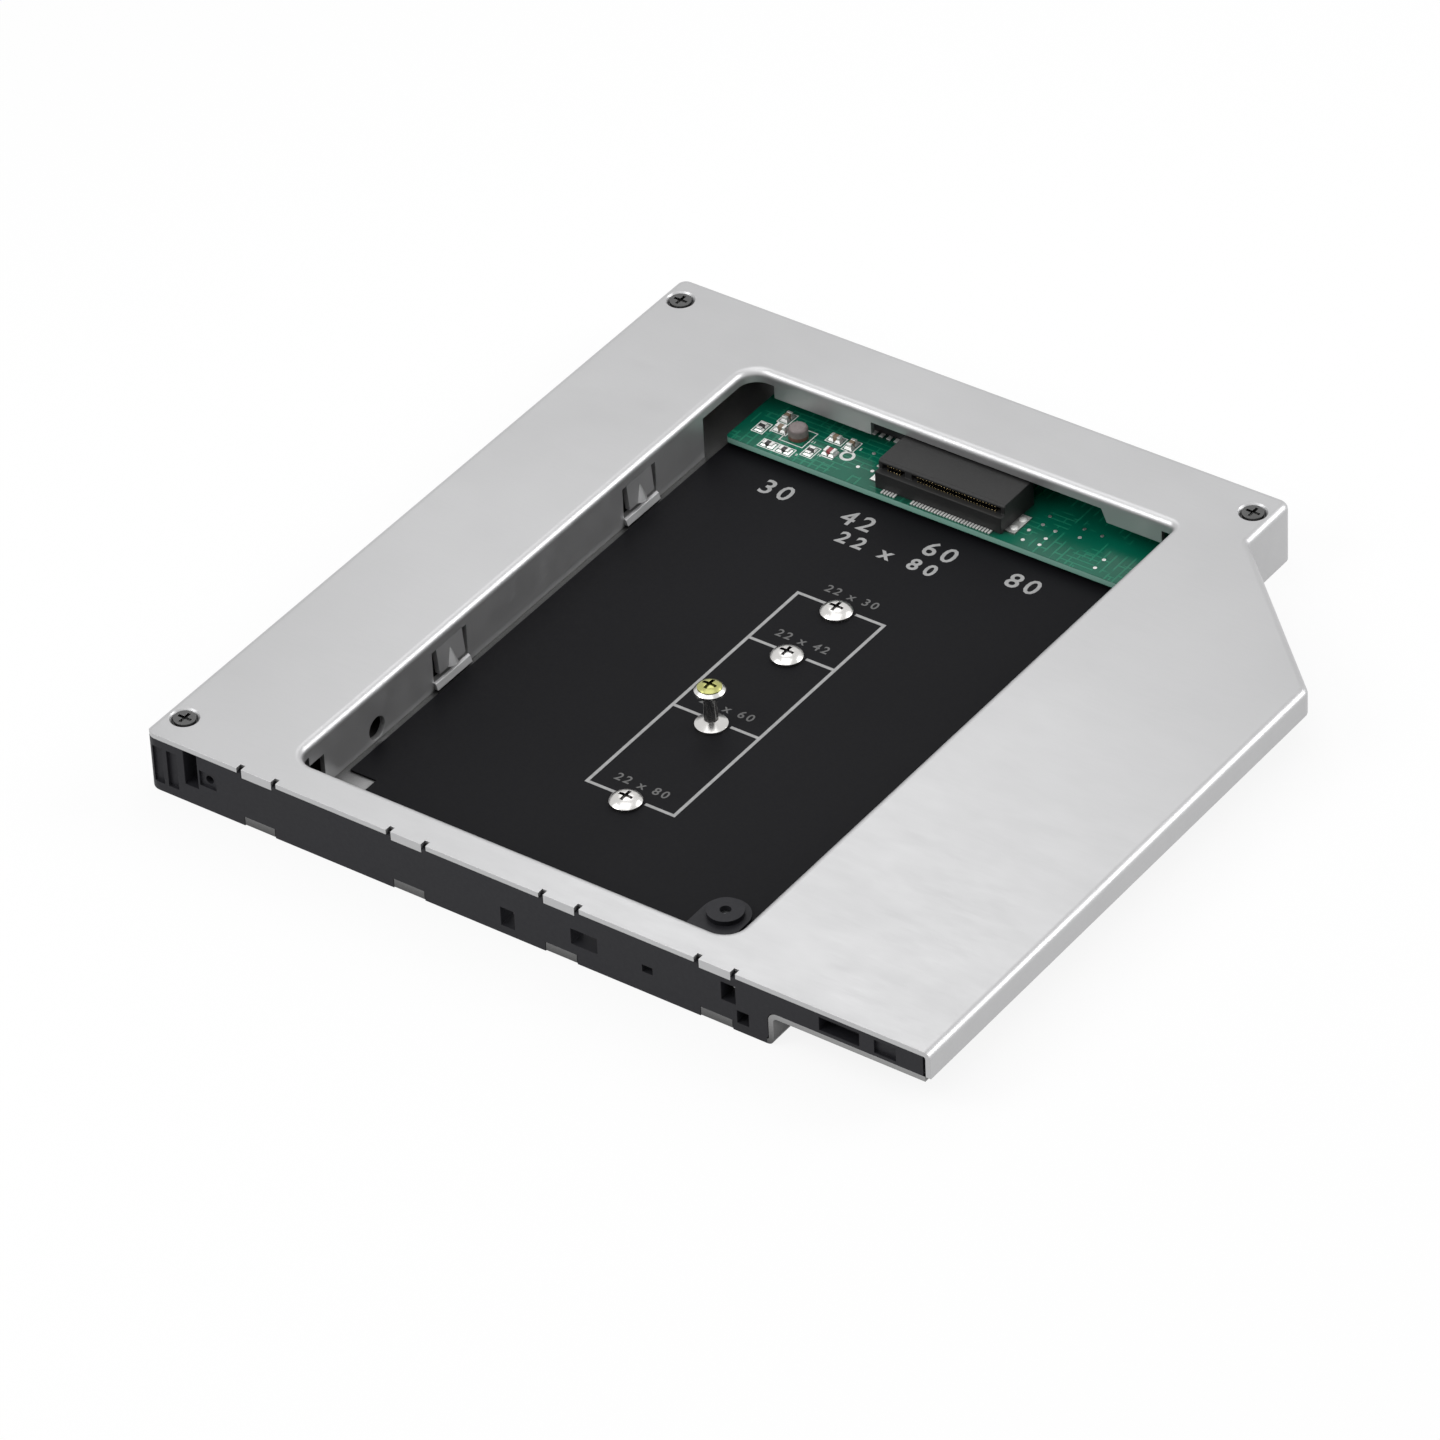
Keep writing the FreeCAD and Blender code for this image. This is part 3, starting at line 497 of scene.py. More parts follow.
def layered(name, low_color, high_color, level, rough, grain_scale=2000.0):
    """Small fired or moulded part whose lower and upper parts differ in colour."""
    material, tree, shader, place = new_material(name)
    specks = noise(tree, place, grain_scale, 4.0)
    body = blend(tree, above(tree, place, level), low_color, high_color)
    shaded = blend(tree, spread(tree, specks, 0.0, 0.22), body, (0.02, 0.02, 0.02))
    tree.feed(shader, "Base Color", shaded)
    tree.feed(shader, "Roughness", spread(tree, specks, rough * 0.85, rough * 1.15))
    shader.inputs["Coat Weight"].default_value = 0.15
    relief(tree, shader, specks, 0.004 * MM, 0.07 * MM)
    return material


def ink(name, color):
    """Screen-printed ink, a little thin in places."""
    material, tree, shader, place = new_material(name)
    thin = noise(tree, place, 1500.0, 3.0)
    dark, light = shades(color, 0.12)
    tree.feed(shader, "Base Color", blend(tree, spread(tree, thin, 0, 1), dark, light))
    tree.feed(shader, "Roughness", spread(tree, thin, 0.5, 0.7))
    shader.inputs["Specular IOR Level"].default_value = 0.3
    return material


def dress(material, *nodes):
    """Gives carried-over nodes their finish."""
    for node in nodes:
        for slot in NODES[node].material_slots:
            slot.material = material


# Pieces

def piece_from(name, mesh, material, slot_name, *replaced):
    """Links a finished mesh as a piece of the object."""
    if not mesh.faces:
        raise RuntimeError(name + " has no faces")
    data = bpy.data.meshes.new(name)
    mesh.to_mesh(data)
    mesh.free()
    data.materials.clear()
    data.materials.append(material)
    obj = new_object(name, data)
    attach(obj, BODY)
    if replaced:
        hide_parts(*replaced)
    return obj


def rounded_piece(name, node, width, material, slot_name):
    """Copy of a node made of flat faces, with its sharp edges rounded, in the node's place."""
    mesh = merged_copy(node)
    bmesh.ops.dissolve_limit(mesh, angle_limit=flat_angle, verts=mesh.verts, edges=mesh.edges)
    sharp = [edge for edge in mesh.edges if edge.calc_face_angle(0) > sharp_angle]
    round_edges(mesh, sharp, width, clamp_overlap=True)
    return piece_from(name, mesh, material, slot_name, node)


def round_edges(mesh, edges, width, **options):
    """Turns edges into small fillets."""
    bmesh.ops.bevel(
        mesh, geom=edges, offset=width, segments=rounding_steps, profile=0.5, affect="EDGES", **options
    )


def add_box(mesh, low, high):
    centre = (Vector(low) + Vector(high)) / 2
    size = Vector(high) - Vector(low)
    matrix = Matrix.Translation(centre) @ Matrix.Diagonal((*size, 1))
    bmesh.ops.create_cube(mesh, size=1.0, matrix=matrix)


def add_line(mesh, start, end, width, thick, axis):
    """Flat printed line with square ends along the width (axis 0) or the depth (axis 1)."""
    across = Vector((0, 0, 0))
    across[1 - axis] = width / 2
    add_box(mesh, start - across, end + across + Vector((0, 0, thick)))


def add_band(mesh, inner, outer, thick):
    """Flat closed band between two loops of points, anticlockwise from above."""
    lift = Vector((0, 0, thick))
    raised = [[point + lift for point in loop] for loop in (outer, inner)]
    loops = [[mesh.verts.new(point) for point in loop] for loop in (inner, outer, *raised)]
    for near, far in zip(loops, loops[1:] + loops[:1]):
        for step in range(len(near)):
            after = (step + 1) % len(near)
            mesh.faces.new((near[after], near[step], far[step], far[after]))


def circle(centre, radius, steps=48):
    turns = [2 * math.pi * step / steps for step in range(steps)]
    return [centre + Vector((radius * math.cos(turn), radius * math.sin(turn), 0)) for turn in turns]


def rectangle(low, high, z, margin):
    """Corners of a level rectangle round two corners, anticlockwise from above."""
    x0, y0 = low.x - margin, low.y - margin
    x1, y1 = high.x + margin, high.y + margin
    return [Vector((x, y, z)) for x, y in ((x0, y0), (x1, y0), (x1, y1), (x0, y1))]


def add_words(mesh, words, place, size, thick, spacing=1.0, heavy=0.0):
    """Flat lettering centred on a place."""
    curve = bpy.data.curves.new("lettering", "FONT")
    curve.body = words
    curve.size = size
    curve.align_x = "CENTER"
    curve.align_y = "CENTER"
    curve.extrude = thick / 2
    curve.offset = heavy
    curve.space_character = spacing
    curve.resolution_u = 3
    holder = new_object("lettering", curve)
    take_result(mesh, holder, place + Vector((0, 0, thick / 2)))
    bpy.data.objects.remove(holder)
    bpy.data.curves.remove(curve)


# What a user would change

def color_value(label, text, value):
    return FloatVectorProperty(name=label, description=text, default=value, subtype="COLOR", min=0, max=1)


def length_value(label, text, value):
    return FloatProperty(
        name=label, description=text, default=value, min=0, subtype="DISTANCE", unit="LENGTH"
    )


def share_value(label, text, value):
    return FloatProperty(name=label, description=text, default=value, min=0, max=1, subtype="FACTOR")


def power_value(label, text, value):
    return FloatProperty(name=label, description=text, default=value, subtype="POWER", unit="POWER")


def angle_value(label, text, degrees):
    return FloatProperty(
        name=label, description=text, default=math.radians(degrees), subtype="ANGLE", unit="ROTATION"
    )


class CaddyMetals(bpy.types.PropertyGroup):
    """Colours and gloss of the metal pieces."""

    cover_color: color_value("Cover", "Colour of the cover's aluminium", (0.475, 0.475, 0.48))
    cover_rough: share_value("Cover roughness", "How dull the cover is", 0.40)
    tray_color: color_value("Tray", "Colour of the tray's aluminium", (0.34, 0.34, 0.34))
    tray_rough: share_value("Tray roughness", "How dull the tray is", 0.42)
    nickel_color: color_value("Nickel", "Colour of the module screws and nuts", (0.62, 0.61, 0.595))
    dark_nickel_color: color_value("Corner screws", "Colour of the corner screws", (0.12, 0.12, 0.12))
    yellow_color: color_value("Yellow plating", "Colour of the spool's screw", (0.40, 0.40, 0.15))
    # The contacts' gold is darkened to paint the shade inside the socket's slot
    gold_color: color_value("Gold", "Colour of the contacts", (0.52, 0.40, 0.20))
    tin_color: color_value("Tin", "Colour of solder and tinned ends", (0.80, 0.80, 0.78))
    brass_color: color_value("Brass", "Colour of the turned posts and spacers", (0.62, 0.48, 0.22))
    zinc_color: color_value("Zinc", "Colour of the rail's screw", (0.42, 0.43, 0.44))


class CaddyPlastics(bpy.types.PropertyGroup):
    """Colours and rounding of the plastic pieces."""

    rail_color: color_value("Rail", "Colour of the front rail", (0.015, 0.015, 0.018))
    film_color: color_value("Film", "Colour of the floor film", (0.008, 0.008, 0.0092))
    socket_color: color_value("Socket", "Colour of the module socket", (0.022, 0.022, 0.022))
    plug_color: color_value("Plug", "Colour of the rear plug", (0.016, 0.016, 0.018))
    rounding: length_value("Rounding", "Radius on the moulded edges of the socket and the plug", 0.09 * MM)


class CaddyPrint(bpy.types.PropertyGroup):
    """The marks printed on the floor film."""

    ink_color: color_value("Ink", "Colour of the printed marks", (0.34, 0.34, 0.34))
    faint_color: color_value("Faint ink", "Colour of the small numbers", (0.12, 0.12, 0.12))
    thick: length_value("Thickness", "How far the ink stands off the film", 0.012 * MM)
    line: length_value("Line", "Width of the printed lines", 0.5 * MM)
    line_gap: length_value("Line gap", "From a screw's axis to the start of its line", 2.45 * MM)
    half_width: length_value("Half width", "From the screws' line to the frame's side", 7.2 * MM)
    rise: length_value("Rise", "From a screw's centre back to its line", 1.05 * MM)
    label_rise: length_value("Label rise", "From a line back to its number", 3.0 * MM)
    label_size: length_value("Label size", "Size of the numbers beside the screws", 2.2 * MM)
    labels: StringProperty(
        name="Labels", description="Plain numbers, from the rear", default="30 42 60 80"
    )
    title_rise: length_value("Title rise", "From the frame back to the large numbers", 18.0 * MM)
    title_size: length_value("Title size", "Size of the large numbers", 4.6 * MM)
    second_rise: length_value("Second rise", "From the frame back to the second row", 13.8 * MM)
    second_size: length_value("Second size", "Size of the second row of numbers", 3.6 * MM)


class CaddyBoard(bpy.types.PropertyGroup):
    """Colours of the board and sizes of its marks and solder."""

    mask_color: color_value("Mask", "Colour of the solder mask", (0.0, 0.105, 0.062))
    track_color: color_value("Tracks", "Colour of the mask over copper", (0.02, 0.26, 0.15))
    edge_color: color_value("Edge", "Colour of the board's cut edge", (0.27, 0.52, 0.43))
    mark_color: color_value("Marks", "Colour of the board's printed marks", (0.72, 0.74, 0.72))
    mark_thick: length_value("Mark thickness", "How far the marks stand off the board", 0.012 * MM)
    mark_line: length_value("Mark line", "Width of the board's printed lines", 0.16 * MM)
    ring_radius: length_value("Ring", "Outer radius of the printed ring", 1.15 * MM)
    ring_place: FloatVectorProperty(
        name="Ring place", description="From the indicator to the printed ring",
        default=(2.4 * MM, 0.75 * MM), size=2, subtype="XYZ", unit="LENGTH",
    )
    inductor_color: color_value("Inductor", "Colour of the inductor", (0.20, 0.165, 0.16))
    inductor_foot_color: color_value("Inductor's foot", "Colour of its lower part", (0.16, 0.07, 0.05))
    indicator_color: color_value("Indicator", "Colour of the indicator", (0.28, 0.012, 0.02))
    indicator_foot_color: color_value("Indicator's foot", "Colour of its lower part", (0.55, 0.52, 0.48))
    capacitor_color: color_value("Capacitors", "Colour of the capacitors", (0.26, 0.19, 0.13))
    resistor_color: color_value("Resistors", "Colour of the resistors", (0.014, 0.014, 0.015))
    regulator_color: color_value("Regulator", "Colour of the regulator", (0.012, 0.012, 0.013))
    tinned: share_value("Tinned share", "Share of a chip's length under each tinned end", 0.28)
    fillet: length_value("Solder", "How far the solder reaches round a tinned end", 0.28 * MM)
    tail_length: length_value("Tails", "Length of the socket's solder tails", 0.85 * MM)
    tail_thick: length_value("Tail thickness", "Thickness of the solder tails", 0.16 * MM)
    via_radius: length_value("Vias", "Radius of the small plated holes", 0.3 * MM)
    via_seed: IntProperty(
        name="Via seed", description="Fixed draw of the plated holes", default=7, min=0
    )


class CaddyStudio(bpy.types.PropertyGroup):
    """Camera and light."""

    azimuth: angle_value("Azimuth", "Camera's turn about the upright", 36.825)
    elevation: angle_value("Elevation", "Camera's height angle", 37.502)
    roll: angle_value("Roll", "Camera's lean", -2.845)
    distance: length_value("Distance", "From the camera to its target", 1.2)
    target: FloatVectorProperty(
        name="Target", description="Point in the middle of the picture",
        default=(-0.00525, -0.0118, 0.00176), subtype="XYZ", unit="LENGTH",
    )
    lens: FloatProperty(
        name="Lens", description="Focal length in millimetres", default=220.95, subtype="DISTANCE_CAMERA"
    )
    world_light: FloatProperty(
        name="World light", description="Strength of the even light", default=0.5, min=0
    )
    key_light: power_value("Overhead lamp", "Power of the large overhead lamp", 2.0)
    front_light: power_value("Near lamp", "Power of the lamp that shades the plate", 0.075)
    rear_light: power_value("Rear lamp", "Power of the lamp that draws the left rim", 1.5)
    left_light: power_value("Front lamp", "Power of the lamp that draws the rear rim", 1.3)
    floor_size: length_value("Floor", "Side of the floor", 6.0)


# Operators

class CADDY_OT_case(bpy.types.Operator):
    """Satin aluminium of the cover and the tray"""

    bl_idname = "caddy.case"
    bl_label = "Finish the case"

    def execute(self, context):
        metals = context.scene.caddy_metals
        cover = sheet_metal("cover aluminium", metals.cover_color, metals.cover_rough, *cover_shade)
        tray = sheet_metal("tray aluminium", metals.tray_color, metals.tray_rough, *tray_shade)
        dress(cover, "top_cover")
        dress(tray, "bottom_tray")
        return {"FINISHED"}


class CADDY_OT_rail(bpy.types.Operator):
    """Black front rail and floor film"""

    bl_idname = "caddy.rail"
    bl_label = "Finish the rail and the film"

    def execute(self, context):
        plastics = context.scene.caddy_plastics
        dress(moulded("rail plastic", plastics.rail_color, 0.55, 0.2), "front_rail")
        dress(film_sheet("floor film", plastics.film_color), "insulating_film")
        return {"FINISHED"}


class CADDY_OT_connectors(bpy.types.Operator):
    """Socket and plug with rounded edges, gold contacts and tinned tabs"""

    bl_idname = "caddy.connectors"
    bl_label = "Finish the socket and the plug"

    def execute(self, context):
        plastics = context.scene.caddy_plastics
        metals = context.scene.caddy_metals
        width = plastics.rounding
        socket = moulded("socket plastic", plastics.socket_color, 0.45, 0.22, *fine_pits)
        plug = moulded("plug plastic", plastics.plug_color, 0.48, 0.4, *fine_pits)
        rounded_piece("socket_housing_rounded", "module_socket_housing", width, socket, "socket_plastic")
        rounded_piece("plug_housing_rounded", "rear_plug_housing", width, plug, "plug_plastic")
        # Gold darkened to paint the shade in the slots of the socket and the plug
        gold = plated("contact gold", metals.gold_color, 0.22)
        dress(gold, "module_socket_contacts", "rear_plug_contacts")
        dress(plated("tab tin", metals.tin_color, 0.45), "socket_solder_tabs")
        return {"FINISHED"}


class CADDY_OT_solder_tails(bpy.types.Operator):
    """Rows of solder tails of the socket and the plug, and solder on the tabs"""

    bl_idname = "caddy.solder_tails"
    bl_label = "Add the solder tails"

    def execute(self, context):
        board = context.scene.caddy_board
        tin = plated("tail solder", context.scene.caddy_metals.tin_color, 0.5, shade=0.2, metallic=0.4)
        group = row_group()
        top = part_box("circuit_board")[1].z
        long = board.tail_length
        rise = top + board.tail_thick / 2
        rows = (
            ("socket_tails", "module_socket_contacts", "module_socket_housing", socket_tail_share, (-1, 1)),
            ("plug_tails", "rear_plug_contacts", "rear_plug_housing", plug_tail_share, (-1,)),
        )
        for name, contacts, housing, wide, sides in rows:
            mesh = bmesh.new()
            low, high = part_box(housing)
            centres = sorted({round(middle(pair).x, 6) for pair in loose_solids(contacts)})
            for side in sides:
                y = low.y - long / 2 if side < 0 else high.y + long / 2
                for first, pitch, count in even_runs(centres):
                    grow(
                        mesh, group, Count=count, First=(first, y, rise), Pitch=pitch,
                        Size=(pitch * wide, long, board.tail_thick), Material=tin,
                    )
            piece_from(name, mesh, tin, "lead_tin")
        add_tab_solder(board, tin)
        return {"FINISHED"}


def add_tab_solder(board, tin):
    """A low drop of solder on each hold-down tab of the socket."""
    mesh = bmesh.new()
    places = []
    for low, high in loose_solids("socket_solder_tabs"):
        centre = middle((low, high))
        reach = (high.y - low.y) / 4
        places += [Vector((centre.x, centre.y + side * reach, high.z)) for side in (-1, 1)]
    grow(mesh, drop_group(), places, Radius=tab_drop_radius, Height=tab_drop_height, Material=tin)
    for face in mesh.faces:
        face.smooth = True
    piece_from("tab_solder", mesh, tin, "solder_tab_tin")


class CADDY_OT_board(bpy.types.Operator):
    """Green board with its printed marks and plated holes"""

    bl_idname = "caddy.board"
    bl_label = "Finish the board"

    def execute(self, context):
        board = context.scene.caddy_board
        dress(solder_mask("solder mask", board), "circuit_board")
        marks = ink("board marks", board.mark_color)
        mesh = bmesh.new()
        add_part_outlines(mesh, board)
        add_indicator_ring(mesh, board)
        piece_from("board_marks", mesh, marks, "board_green")
        add_vias(board, plated("via tin", context.scene.caddy_metals.tin_color, 0.4))
        return {"FINISHED"}


def add_part_outlines(mesh, board):
    """Printed box round each small part, and a number beside it."""
    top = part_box("circuit_board")[1].z
    gap = board.fillet + board.mark_line
    number = 0
    for node in ("capacitors", "resistors", "power_inductor", "regulator_body"):
        for low, high in loose_solids(node):
            number += 1
            inner = rectangle(low, high, top, gap)
            add_band(mesh, inner, rectangle(low, high, top, gap + board.mark_line), board.mark_thick)
            beside = Vector((high.x + gap + part_number_gap, (low.y + high.y) / 2, top))
            add_words(mesh, str(number), beside, part_number_size, board.mark_thick)


def add_indicator_ring(mesh, board):
    """Printed ring beside the indicator, and a short bar in front of it."""
    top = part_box("circuit_board")[1].z
    low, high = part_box("status_led")
    centre = middle((low, high))
    ring = Vector((centre.x + board.ring_place[0], centre.y + board.ring_place[1], top))
    hole = circle(ring, board.ring_radius * ring_hole_share)
    add_band(mesh, hole, circle(ring, board.ring_radius), board.mark_thick)
    front = Vector((low.x - board.fillet, low.y - board.fillet * 2, top))
    end = Vector((high.x + board.fillet, front.y, top))
    add_line(mesh, front, end, board.mark_line * bar_line_share, board.mark_thick, 0)


def add_vias(board, tin):
    """Plated holes beside the socket and in the free fields of the board."""
    low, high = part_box("circuit_board")
    socket_low, socket_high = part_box("module_socket_housing")
    rise = high.z + via_thick / 2
    left = (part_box("status_led")[1].x + via_from_indicator, socket_low.x - via_before_socket)
    right = (socket_high.x + via_after_socket, high.x - via_from_edge)
    group = disc_field_group()
    mesh = bmesh.new()
    for number, (start, stop) in enumerate((left, right)):
        grow(
            mesh, group, Centre=((start + stop) / 2, low.y + via_from_front + via_depth / 2, rise),
            Width=stop - start, Depth=via_depth, Columns=via_columns[number], Rows=via_rows,
            Radius=board.via_radius, Height=via_thick, Left_Out=via_left_out, Wander=via_wander,
            Seed=board.via_seed + number, Material=tin,
        )
    piece_from("board_vias", mesh, tin, "lead_tin")


class CADDY_OT_small_parts(bpy.types.Operator):
    """Inductor, indicator, chips and regulator with their tinned ends"""

    bl_idname = "caddy.small_parts"
    bl_label = "Finish the small parts"

    def execute(self, context):
        board = context.scene.caddy_board
        metals = context.scene.caddy_metals
        foot_level = top_of_foot("power_inductor")
        inductor = layered("inductor", board.inductor_foot_color, board.inductor_color, foot_level, 0.4)
        dress(inductor, "power_inductor")
        foot_level = top_of_foot("status_led")
        lamp = layered("indicator", board.indicator_foot_color, board.indicator_color, foot_level, 0.22)
        rounded_piece("indicator_rounded", "status_led", indicator_rounding, lamp, "led_resin")
        chip_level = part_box("circuit_board")[1].z
        pieces = (
            ("capacitors", board.capacitor_color, capacitor_rounding, "capacitor_ceramic"),
            ("resistors", board.resistor_color, resistor_rounding, "resistor_ceramic"),
        )
        for node, body, width, slot_name in pieces:
            finish = layered(node + " ceramic", body, body, chip_level, 0.4)
            rounded_piece(node + "_rounded", node, width, finish, slot_name)
        regulator = moulded("regulator plastic", board.regulator_color, 0.5, 0.4, *fine_pits)
        rounded_piece(
            "regulator_rounded", "regulator_body", regulator_rounding, regulator, "regulator_plastic"
        )
        tin = plated("end tin", metals.tin_color, 0.4, shade=0.5, metallic=0.7)
        dress(tin, "regulator_leads")
        add_chip_ends(board, tin)
        return {"FINISHED"}


def top_of_foot(node):
    """Level at which a small part changes colour."""
    low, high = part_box(node)
    return low.z + (high.z - low.z) * foot_share


def long_axis(low, high):
    """0 if a chip lies along the width, and 1 if along the depth."""
    return 0 if high.x - low.x > high.y - low.y else 1


def add_chip_ends(board, tin):
    """Tinned cap over each end of the chips and of the indicator, and the solder that holds it."""
    mesh = bmesh.new()
    chips = loose_solids("capacitors") + loose_solids("resistors") + loose_solids("status_led")
    for low, high in chips:
        axis = long_axis(low, high)
        cap = (high[axis] - low[axis]) * board.tinned
        outer_low = Vector((low.x - tin_skin, low.y - tin_skin, low.z))
        outer_high = Vector((high.x + tin_skin, high.y + tin_skin, high.z + tin_skin))
        near_high = outer_high.copy()
        near_high[axis] = low[axis] + cap
        far_low = outer_low.copy()
        far_low[axis] = high[axis] - cap
        add_box(mesh, outer_low, near_high)
        add_box(mesh, far_low, outer_high)
    round_edges(mesh, list(mesh.edges), tinned_rounding)
    for low, high in chips:
        add_solder(mesh, low, high, board)
    piece_from("chip_ends", mesh, tin, "lead_tin")


def add_solder(mesh, low, high, board):
    """Low sloping pad of solder round each tinned end of a chip."""
    axis = long_axis(low, high)
    cap = (high[axis] - low[axis]) * board.tinned
    rise = (high.z - low.z) * solder_rise
    for side in (-1, 1):
        near, far = low.copy(), high.copy()
        if side < 0:
            far[axis] = low[axis] + cap
        else:
            near[axis] = high[axis] - cap
        foot = rectangle(near, far, low.z, board.fillet)
        brow = rectangle(near, far, low.z + rise, board.fillet * solder_top_reach)
        lower = [mesh.verts.new(point) for point in foot]
        upper = [mesh.verts.new(point) for point in brow]
        mesh.faces.new(reversed(lower))
        mesh.faces.new(upper)
        for step in range(4):
            after = (step + 1) % 4
            mesh.faces.new((lower[step], lower[after], upper[after], upper[step]))


class CADDY_OT_fasteners(bpy.types.Operator):
    """Screws, nuts, spool and posts"""

    bl_idname = "caddy.fasteners"
    bl_label = "Finish the fasteners"

    def execute(self, context):
        metals = context.scene.caddy_metals
        nickel = plated("nickel", metals.nickel_color, 0.24)
        dress(nickel, "module_screws", "insert_nuts", "board_screws")
        dress(plated("spool nickel", metals.nickel_color, 0.2, shade=0.4), "module_standoff")
        dress(plated("dark nickel", metals.dark_nickel_color, 0.22, shade=0.0), "corner_screws")
        dress(plated("yellow plating", metals.yellow_color, 0.26, 0.08), "standoff_screw")
        dress(plated("turned brass", metals.brass_color, 0.3), "board_spacers", "corner_spacers")
        dress(plated("zinc", metals.zinc_color, 0.35, 0.1), "rail_screw")
        return {"FINISHED"}


class CADDY_OT_film_print(bpy.types.Operator):
    """Frame, lines and plain numbers printed on the floor film"""

    bl_idname = "caddy.film_print"
    bl_label = "Print the film"

    def execute(self, context):
        prints = context.scene.caddy_print
        film_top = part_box("insulating_film")[1].z
        nuts = nut_places()
        white = ink("film ink", prints.ink_color)
        faint = ink("faint film ink", prints.faint_color)
        lines = [place.y + prints.rise for place in nuts]
        x = nuts[0].x
        piece_from("film_frame", self.frame_lines(prints, x, lines, film_top), white, "film_plastic")
        piece_from("film_numbers", self.large_numbers(prints, x, lines, film_top), white, "film_plastic")
        piece_from("film_labels", self.labels(prints, x, lines, film_top), faint, "film_plastic")
        return {"FINISHED"}

    def frame_lines(self, prints, x, lines, z):
        """Long frame round the screws with a line across at each of them."""
        mesh = bmesh.new()
        half = prints.line / 2
        left = x - prints.half_width
        right = x + prints.half_width
        for side in (left, right):
            start = Vector((side, lines[-1] - half, z))
            add_line(mesh, start, Vector((side, lines[0] + half, z)), prints.line, prints.thick, 1)
        for y in lines:
            for start, end in ((left + half, x - prints.line_gap), (x + prints.line_gap, right - half)):
                add_line(mesh, Vector((start, y, z)), Vector((end, y, z)), prints.line, prints.thick, 0)
        return mesh

    def labels(self, prints, x, lines, z):
        """The module's size behind each screw."""
        mesh = bmesh.new()
        for word, y in zip(prints.labels.split(), lines):
            place = Vector((x - label_shift, y + prints.label_rise, z))
            add_words(
                mesh, "22 x " + word, place, prints.label_size, prints.thick, letter_spacing, label_weight
            )
        return mesh

    def large_numbers(self, prints, x, lines, z):
        """The module's lengths in large across the rear."""
        mesh = bmesh.new()
        words = prints.labels.split()
        title = "    ".join(words)
        place = Vector((x - title_shift, lines[0] + prints.title_rise, z))
        add_words(mesh, title, place, prints.title_size, prints.thick, letter_spacing, title_weight)
        second = "22 x " + words[-1]
        place = Vector((x - second_shift, lines[0] + prints.second_rise, z))
        add_words(mesh, second, place, prints.second_size, prints.thick, second_spacing, second_weight)
        return mesh


class CADDY_OT_stage(bpy.types.Operator):
    """Pale floor, soft light and the camera"""

    bl_idname = "caddy.stage"
    bl_label = "Set the stage"

    def execute(self, context):
        studio = context.scene.caddy_studio
        add_floor(studio)
        add_world(studio)
        for name, place, side, power in softboxes:
            add_lamp(name, place, side, getattr(studio, power))
        add_camera(context, studio)
        context.scene.view_settings.view_transform = "Standard"
        return {"FINISHED"}


def backdrop_share(tree):
    """1 for rays that see the backdrop itself or mirror it, 0 for light on the object."""
    path = tree.add("ShaderNodeLightPath").outputs
    seen = tree.math("MAXIMUM", path["Is Camera Ray"], path["Is Glossy Ray"])
    return tree.math("MAXIMUM", seen, path["Is Transmission Ray"])


def mix_shaders(tree, amount, first, second):
    inputs = {"#0": amount, "#1": first.outputs[0], "#2": second.outputs[0]}
    return tree.add("ShaderNodeMixShader", **inputs).outputs[0]


def add_floor(studio):
    """Pale paper that keeps the object's shadow."""
    mesh = bmesh.new()
    bmesh.ops.create_grid(mesh, x_segments=1, y_segments=1, size=studio.floor_size / 2)
    data = bpy.data.meshes.new("floor")
    mesh.to_mesh(data)
    mesh.free()
    floor = new_object("floor", data)
    material = bpy.data.materials.new("floor paper")
    tree = empty_tree(material)
    paper = tree.add("ShaderNodeBsdfDiffuse", Color=(floor_grey, floor_grey, floor_grey, 1))
    glow = tree.add("ShaderNodeEmission", Color=(1, 1, 1, 1), Strength=1.0)
    visible = tree.math("MULTIPLY", backdrop_share(tree), floor_glow)
    tree.add("ShaderNodeOutputMaterial", Surface=mix_shaders(tree, visible, paper, glow))
    data.materials.append(material)


def add_world(studio):
    """Even light from all round, seen as plain white."""
    world = bpy.data.worlds.new("studio")
    bpy.context.scene.world = world
    tree = empty_tree(world)
    light = tree.add("ShaderNodeBackground", Color=(1, 1, 1, 1), Strength=studio.world_light)
    white = tree.add("ShaderNodeBackground", Color=(1, 1, 1, 1), Strength=1.0)
    mixed = mix_shaders(tree, backdrop_share(tree), light, white)
    tree.add("ShaderNodeOutputWorld", Surface=mixed)


def add_lamp(name, place, size, power):
    """Square softbox that faces the object."""
    lamp = bpy.data.lights.new(name, "AREA")
    lamp.shape = "SQUARE"
    lamp.size = size
    lamp.energy = power
    obj = new_object(name, lamp)
    obj.location = place
    obj.rotation_euler = (-Vector(place)).to_track_quat("-Z", "Y").to_euler()


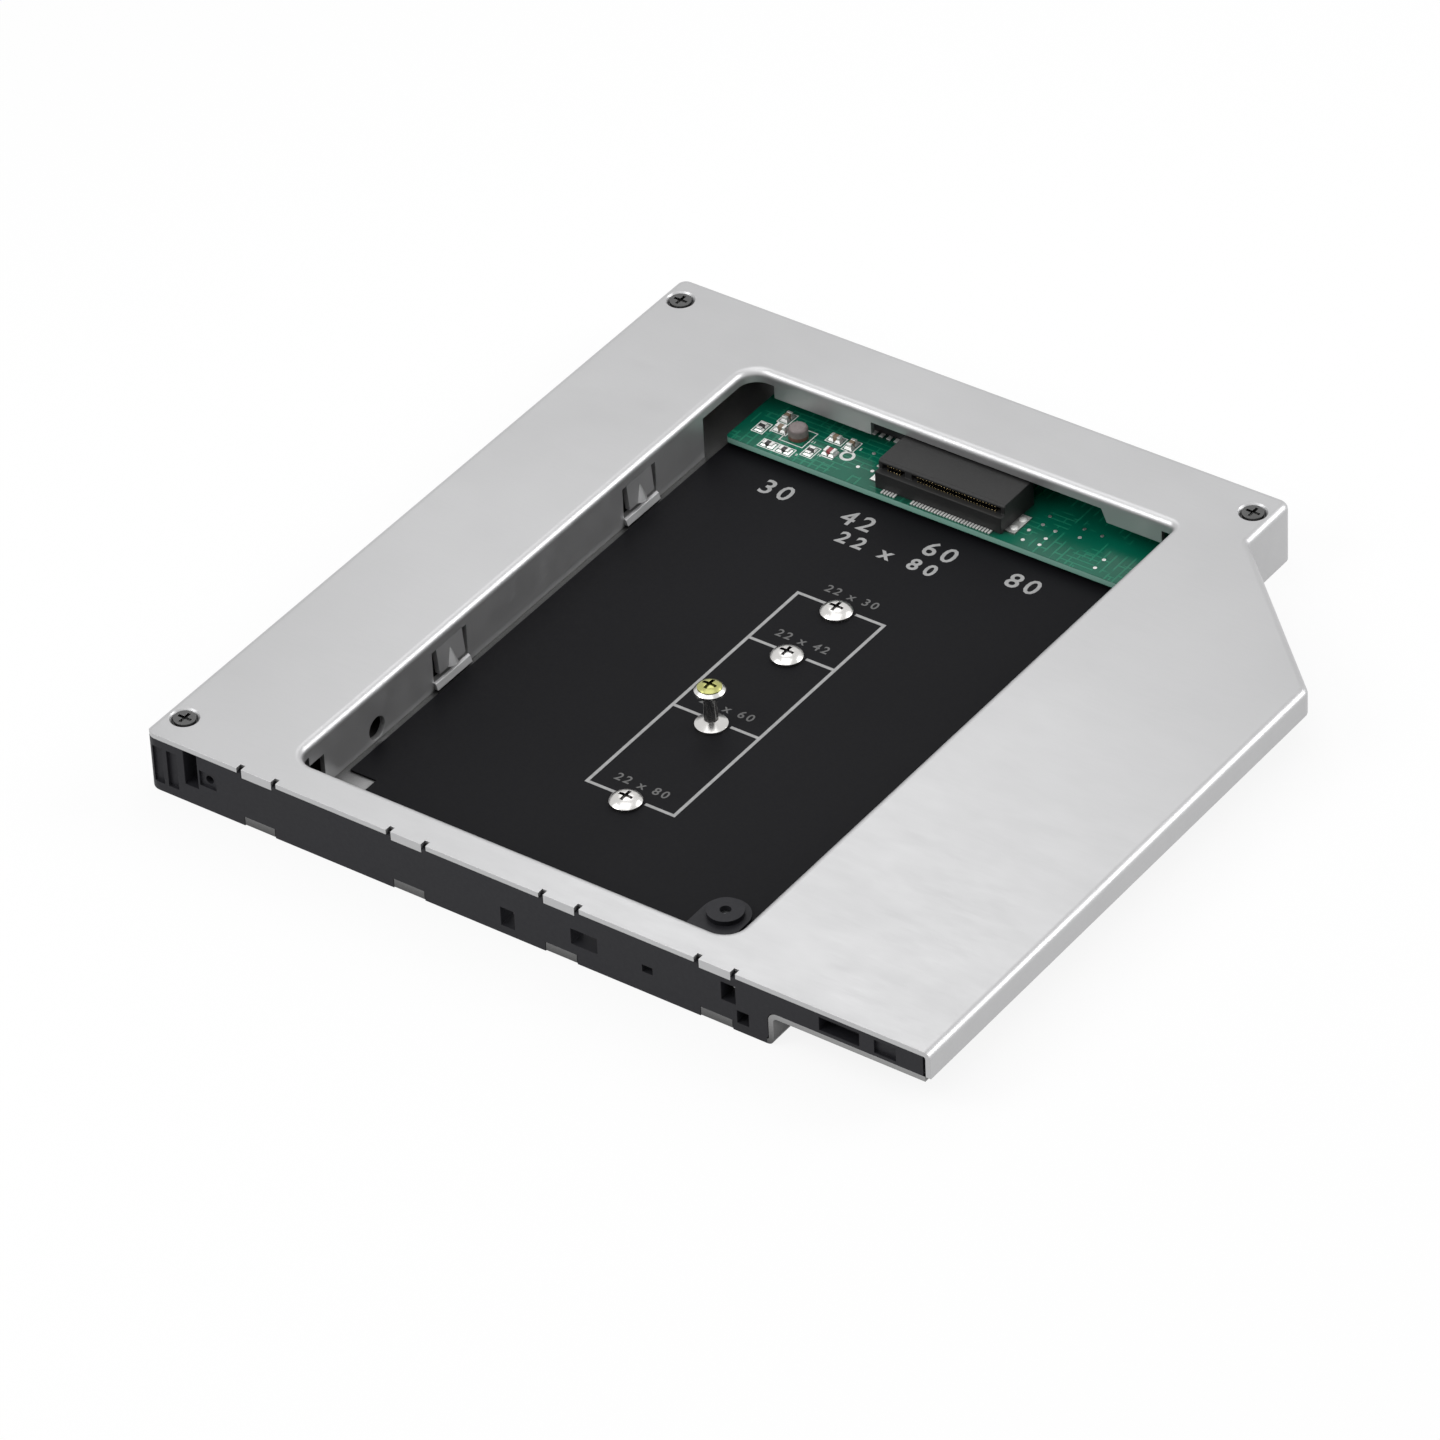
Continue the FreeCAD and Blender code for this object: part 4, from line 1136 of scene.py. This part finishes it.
def add_camera(context, studio):
    """Camera at the photograph's viewing angle."""
    flat = math.cos(studio.elevation)
    turn = studio.azimuth
    back = Vector((flat * math.sin(turn), -flat * math.cos(turn), math.sin(studio.elevation)))
    right = Matrix.Rotation(studio.roll, 3, back) @ Vector((math.cos(turn), math.sin(turn), 0))
    up = back.cross(right)
    lens = bpy.data.cameras.new("camera")
    lens.lens = studio.lens
    lens.sensor_width = sensor_width
    lens.clip_start = nearest_seen
    camera = new_object("camera", lens)
    place = Vector(studio.target) + back * studio.distance
    camera.matrix_world = Matrix.Translation(place) @ Matrix((right, up, back)).transposed().to_4x4()
    context.scene.camera = camera


class CADDY_PT_panel(bpy.types.Panel):
    """Values and buttons for each group of pieces"""

    bl_label = "Laptop drive caddy"
    bl_idname = "CADDY_PT_panel"
    bl_space_type = "VIEW_3D"
    bl_region_type = "UI"
    bl_category = "Caddy"

    def draw(self, context):
        for name, (group, operators) in GROUPS.items():
            box = self.layout.box()
            for field in group.__annotations__:
                box.prop(getattr(context.scene, name), field)
            for operator in operators:
                box.operator(operator.bl_idname)


# The groups of values and the operators that use them, in the order in which they run
GROUPS = {
    "caddy_metals": (CaddyMetals, (CADDY_OT_case, CADDY_OT_fasteners)),
    "caddy_plastics": (CaddyPlastics, (CADDY_OT_rail, CADDY_OT_connectors)),
    "caddy_board": (CaddyBoard, (CADDY_OT_board, CADDY_OT_small_parts, CADDY_OT_solder_tails)),
    "caddy_print": (CaddyPrint, (CADDY_OT_film_print,)),
    "caddy_studio": (CaddyStudio, (CADDY_OT_stage,)),
}


def register():
    for name, (group, operators) in GROUPS.items():
        for cls in (group, *operators):
            bpy.utils.register_class(cls)
        setattr(bpy.types.Scene, name, PointerProperty(type=group))
    bpy.utils.register_class(CADDY_PT_panel)


def unregister():
    bpy.utils.unregister_class(CADDY_PT_panel)
    for name, (group, operators) in GROUPS.items():
        delattr(bpy.types.Scene, name)
        for cls in (*operators, group):
            bpy.utils.unregister_class(cls)


def main():
    register()
    bpy.ops.caddy.case()
    bpy.ops.caddy.fasteners()
    bpy.ops.caddy.rail()
    bpy.ops.caddy.connectors()
    bpy.ops.caddy.board()
    bpy.ops.caddy.small_parts()
    bpy.ops.caddy.solder_tails()
    bpy.ops.caddy.film_print()
    bpy.ops.caddy.stage()


if __name__ == "__main__":
    main()
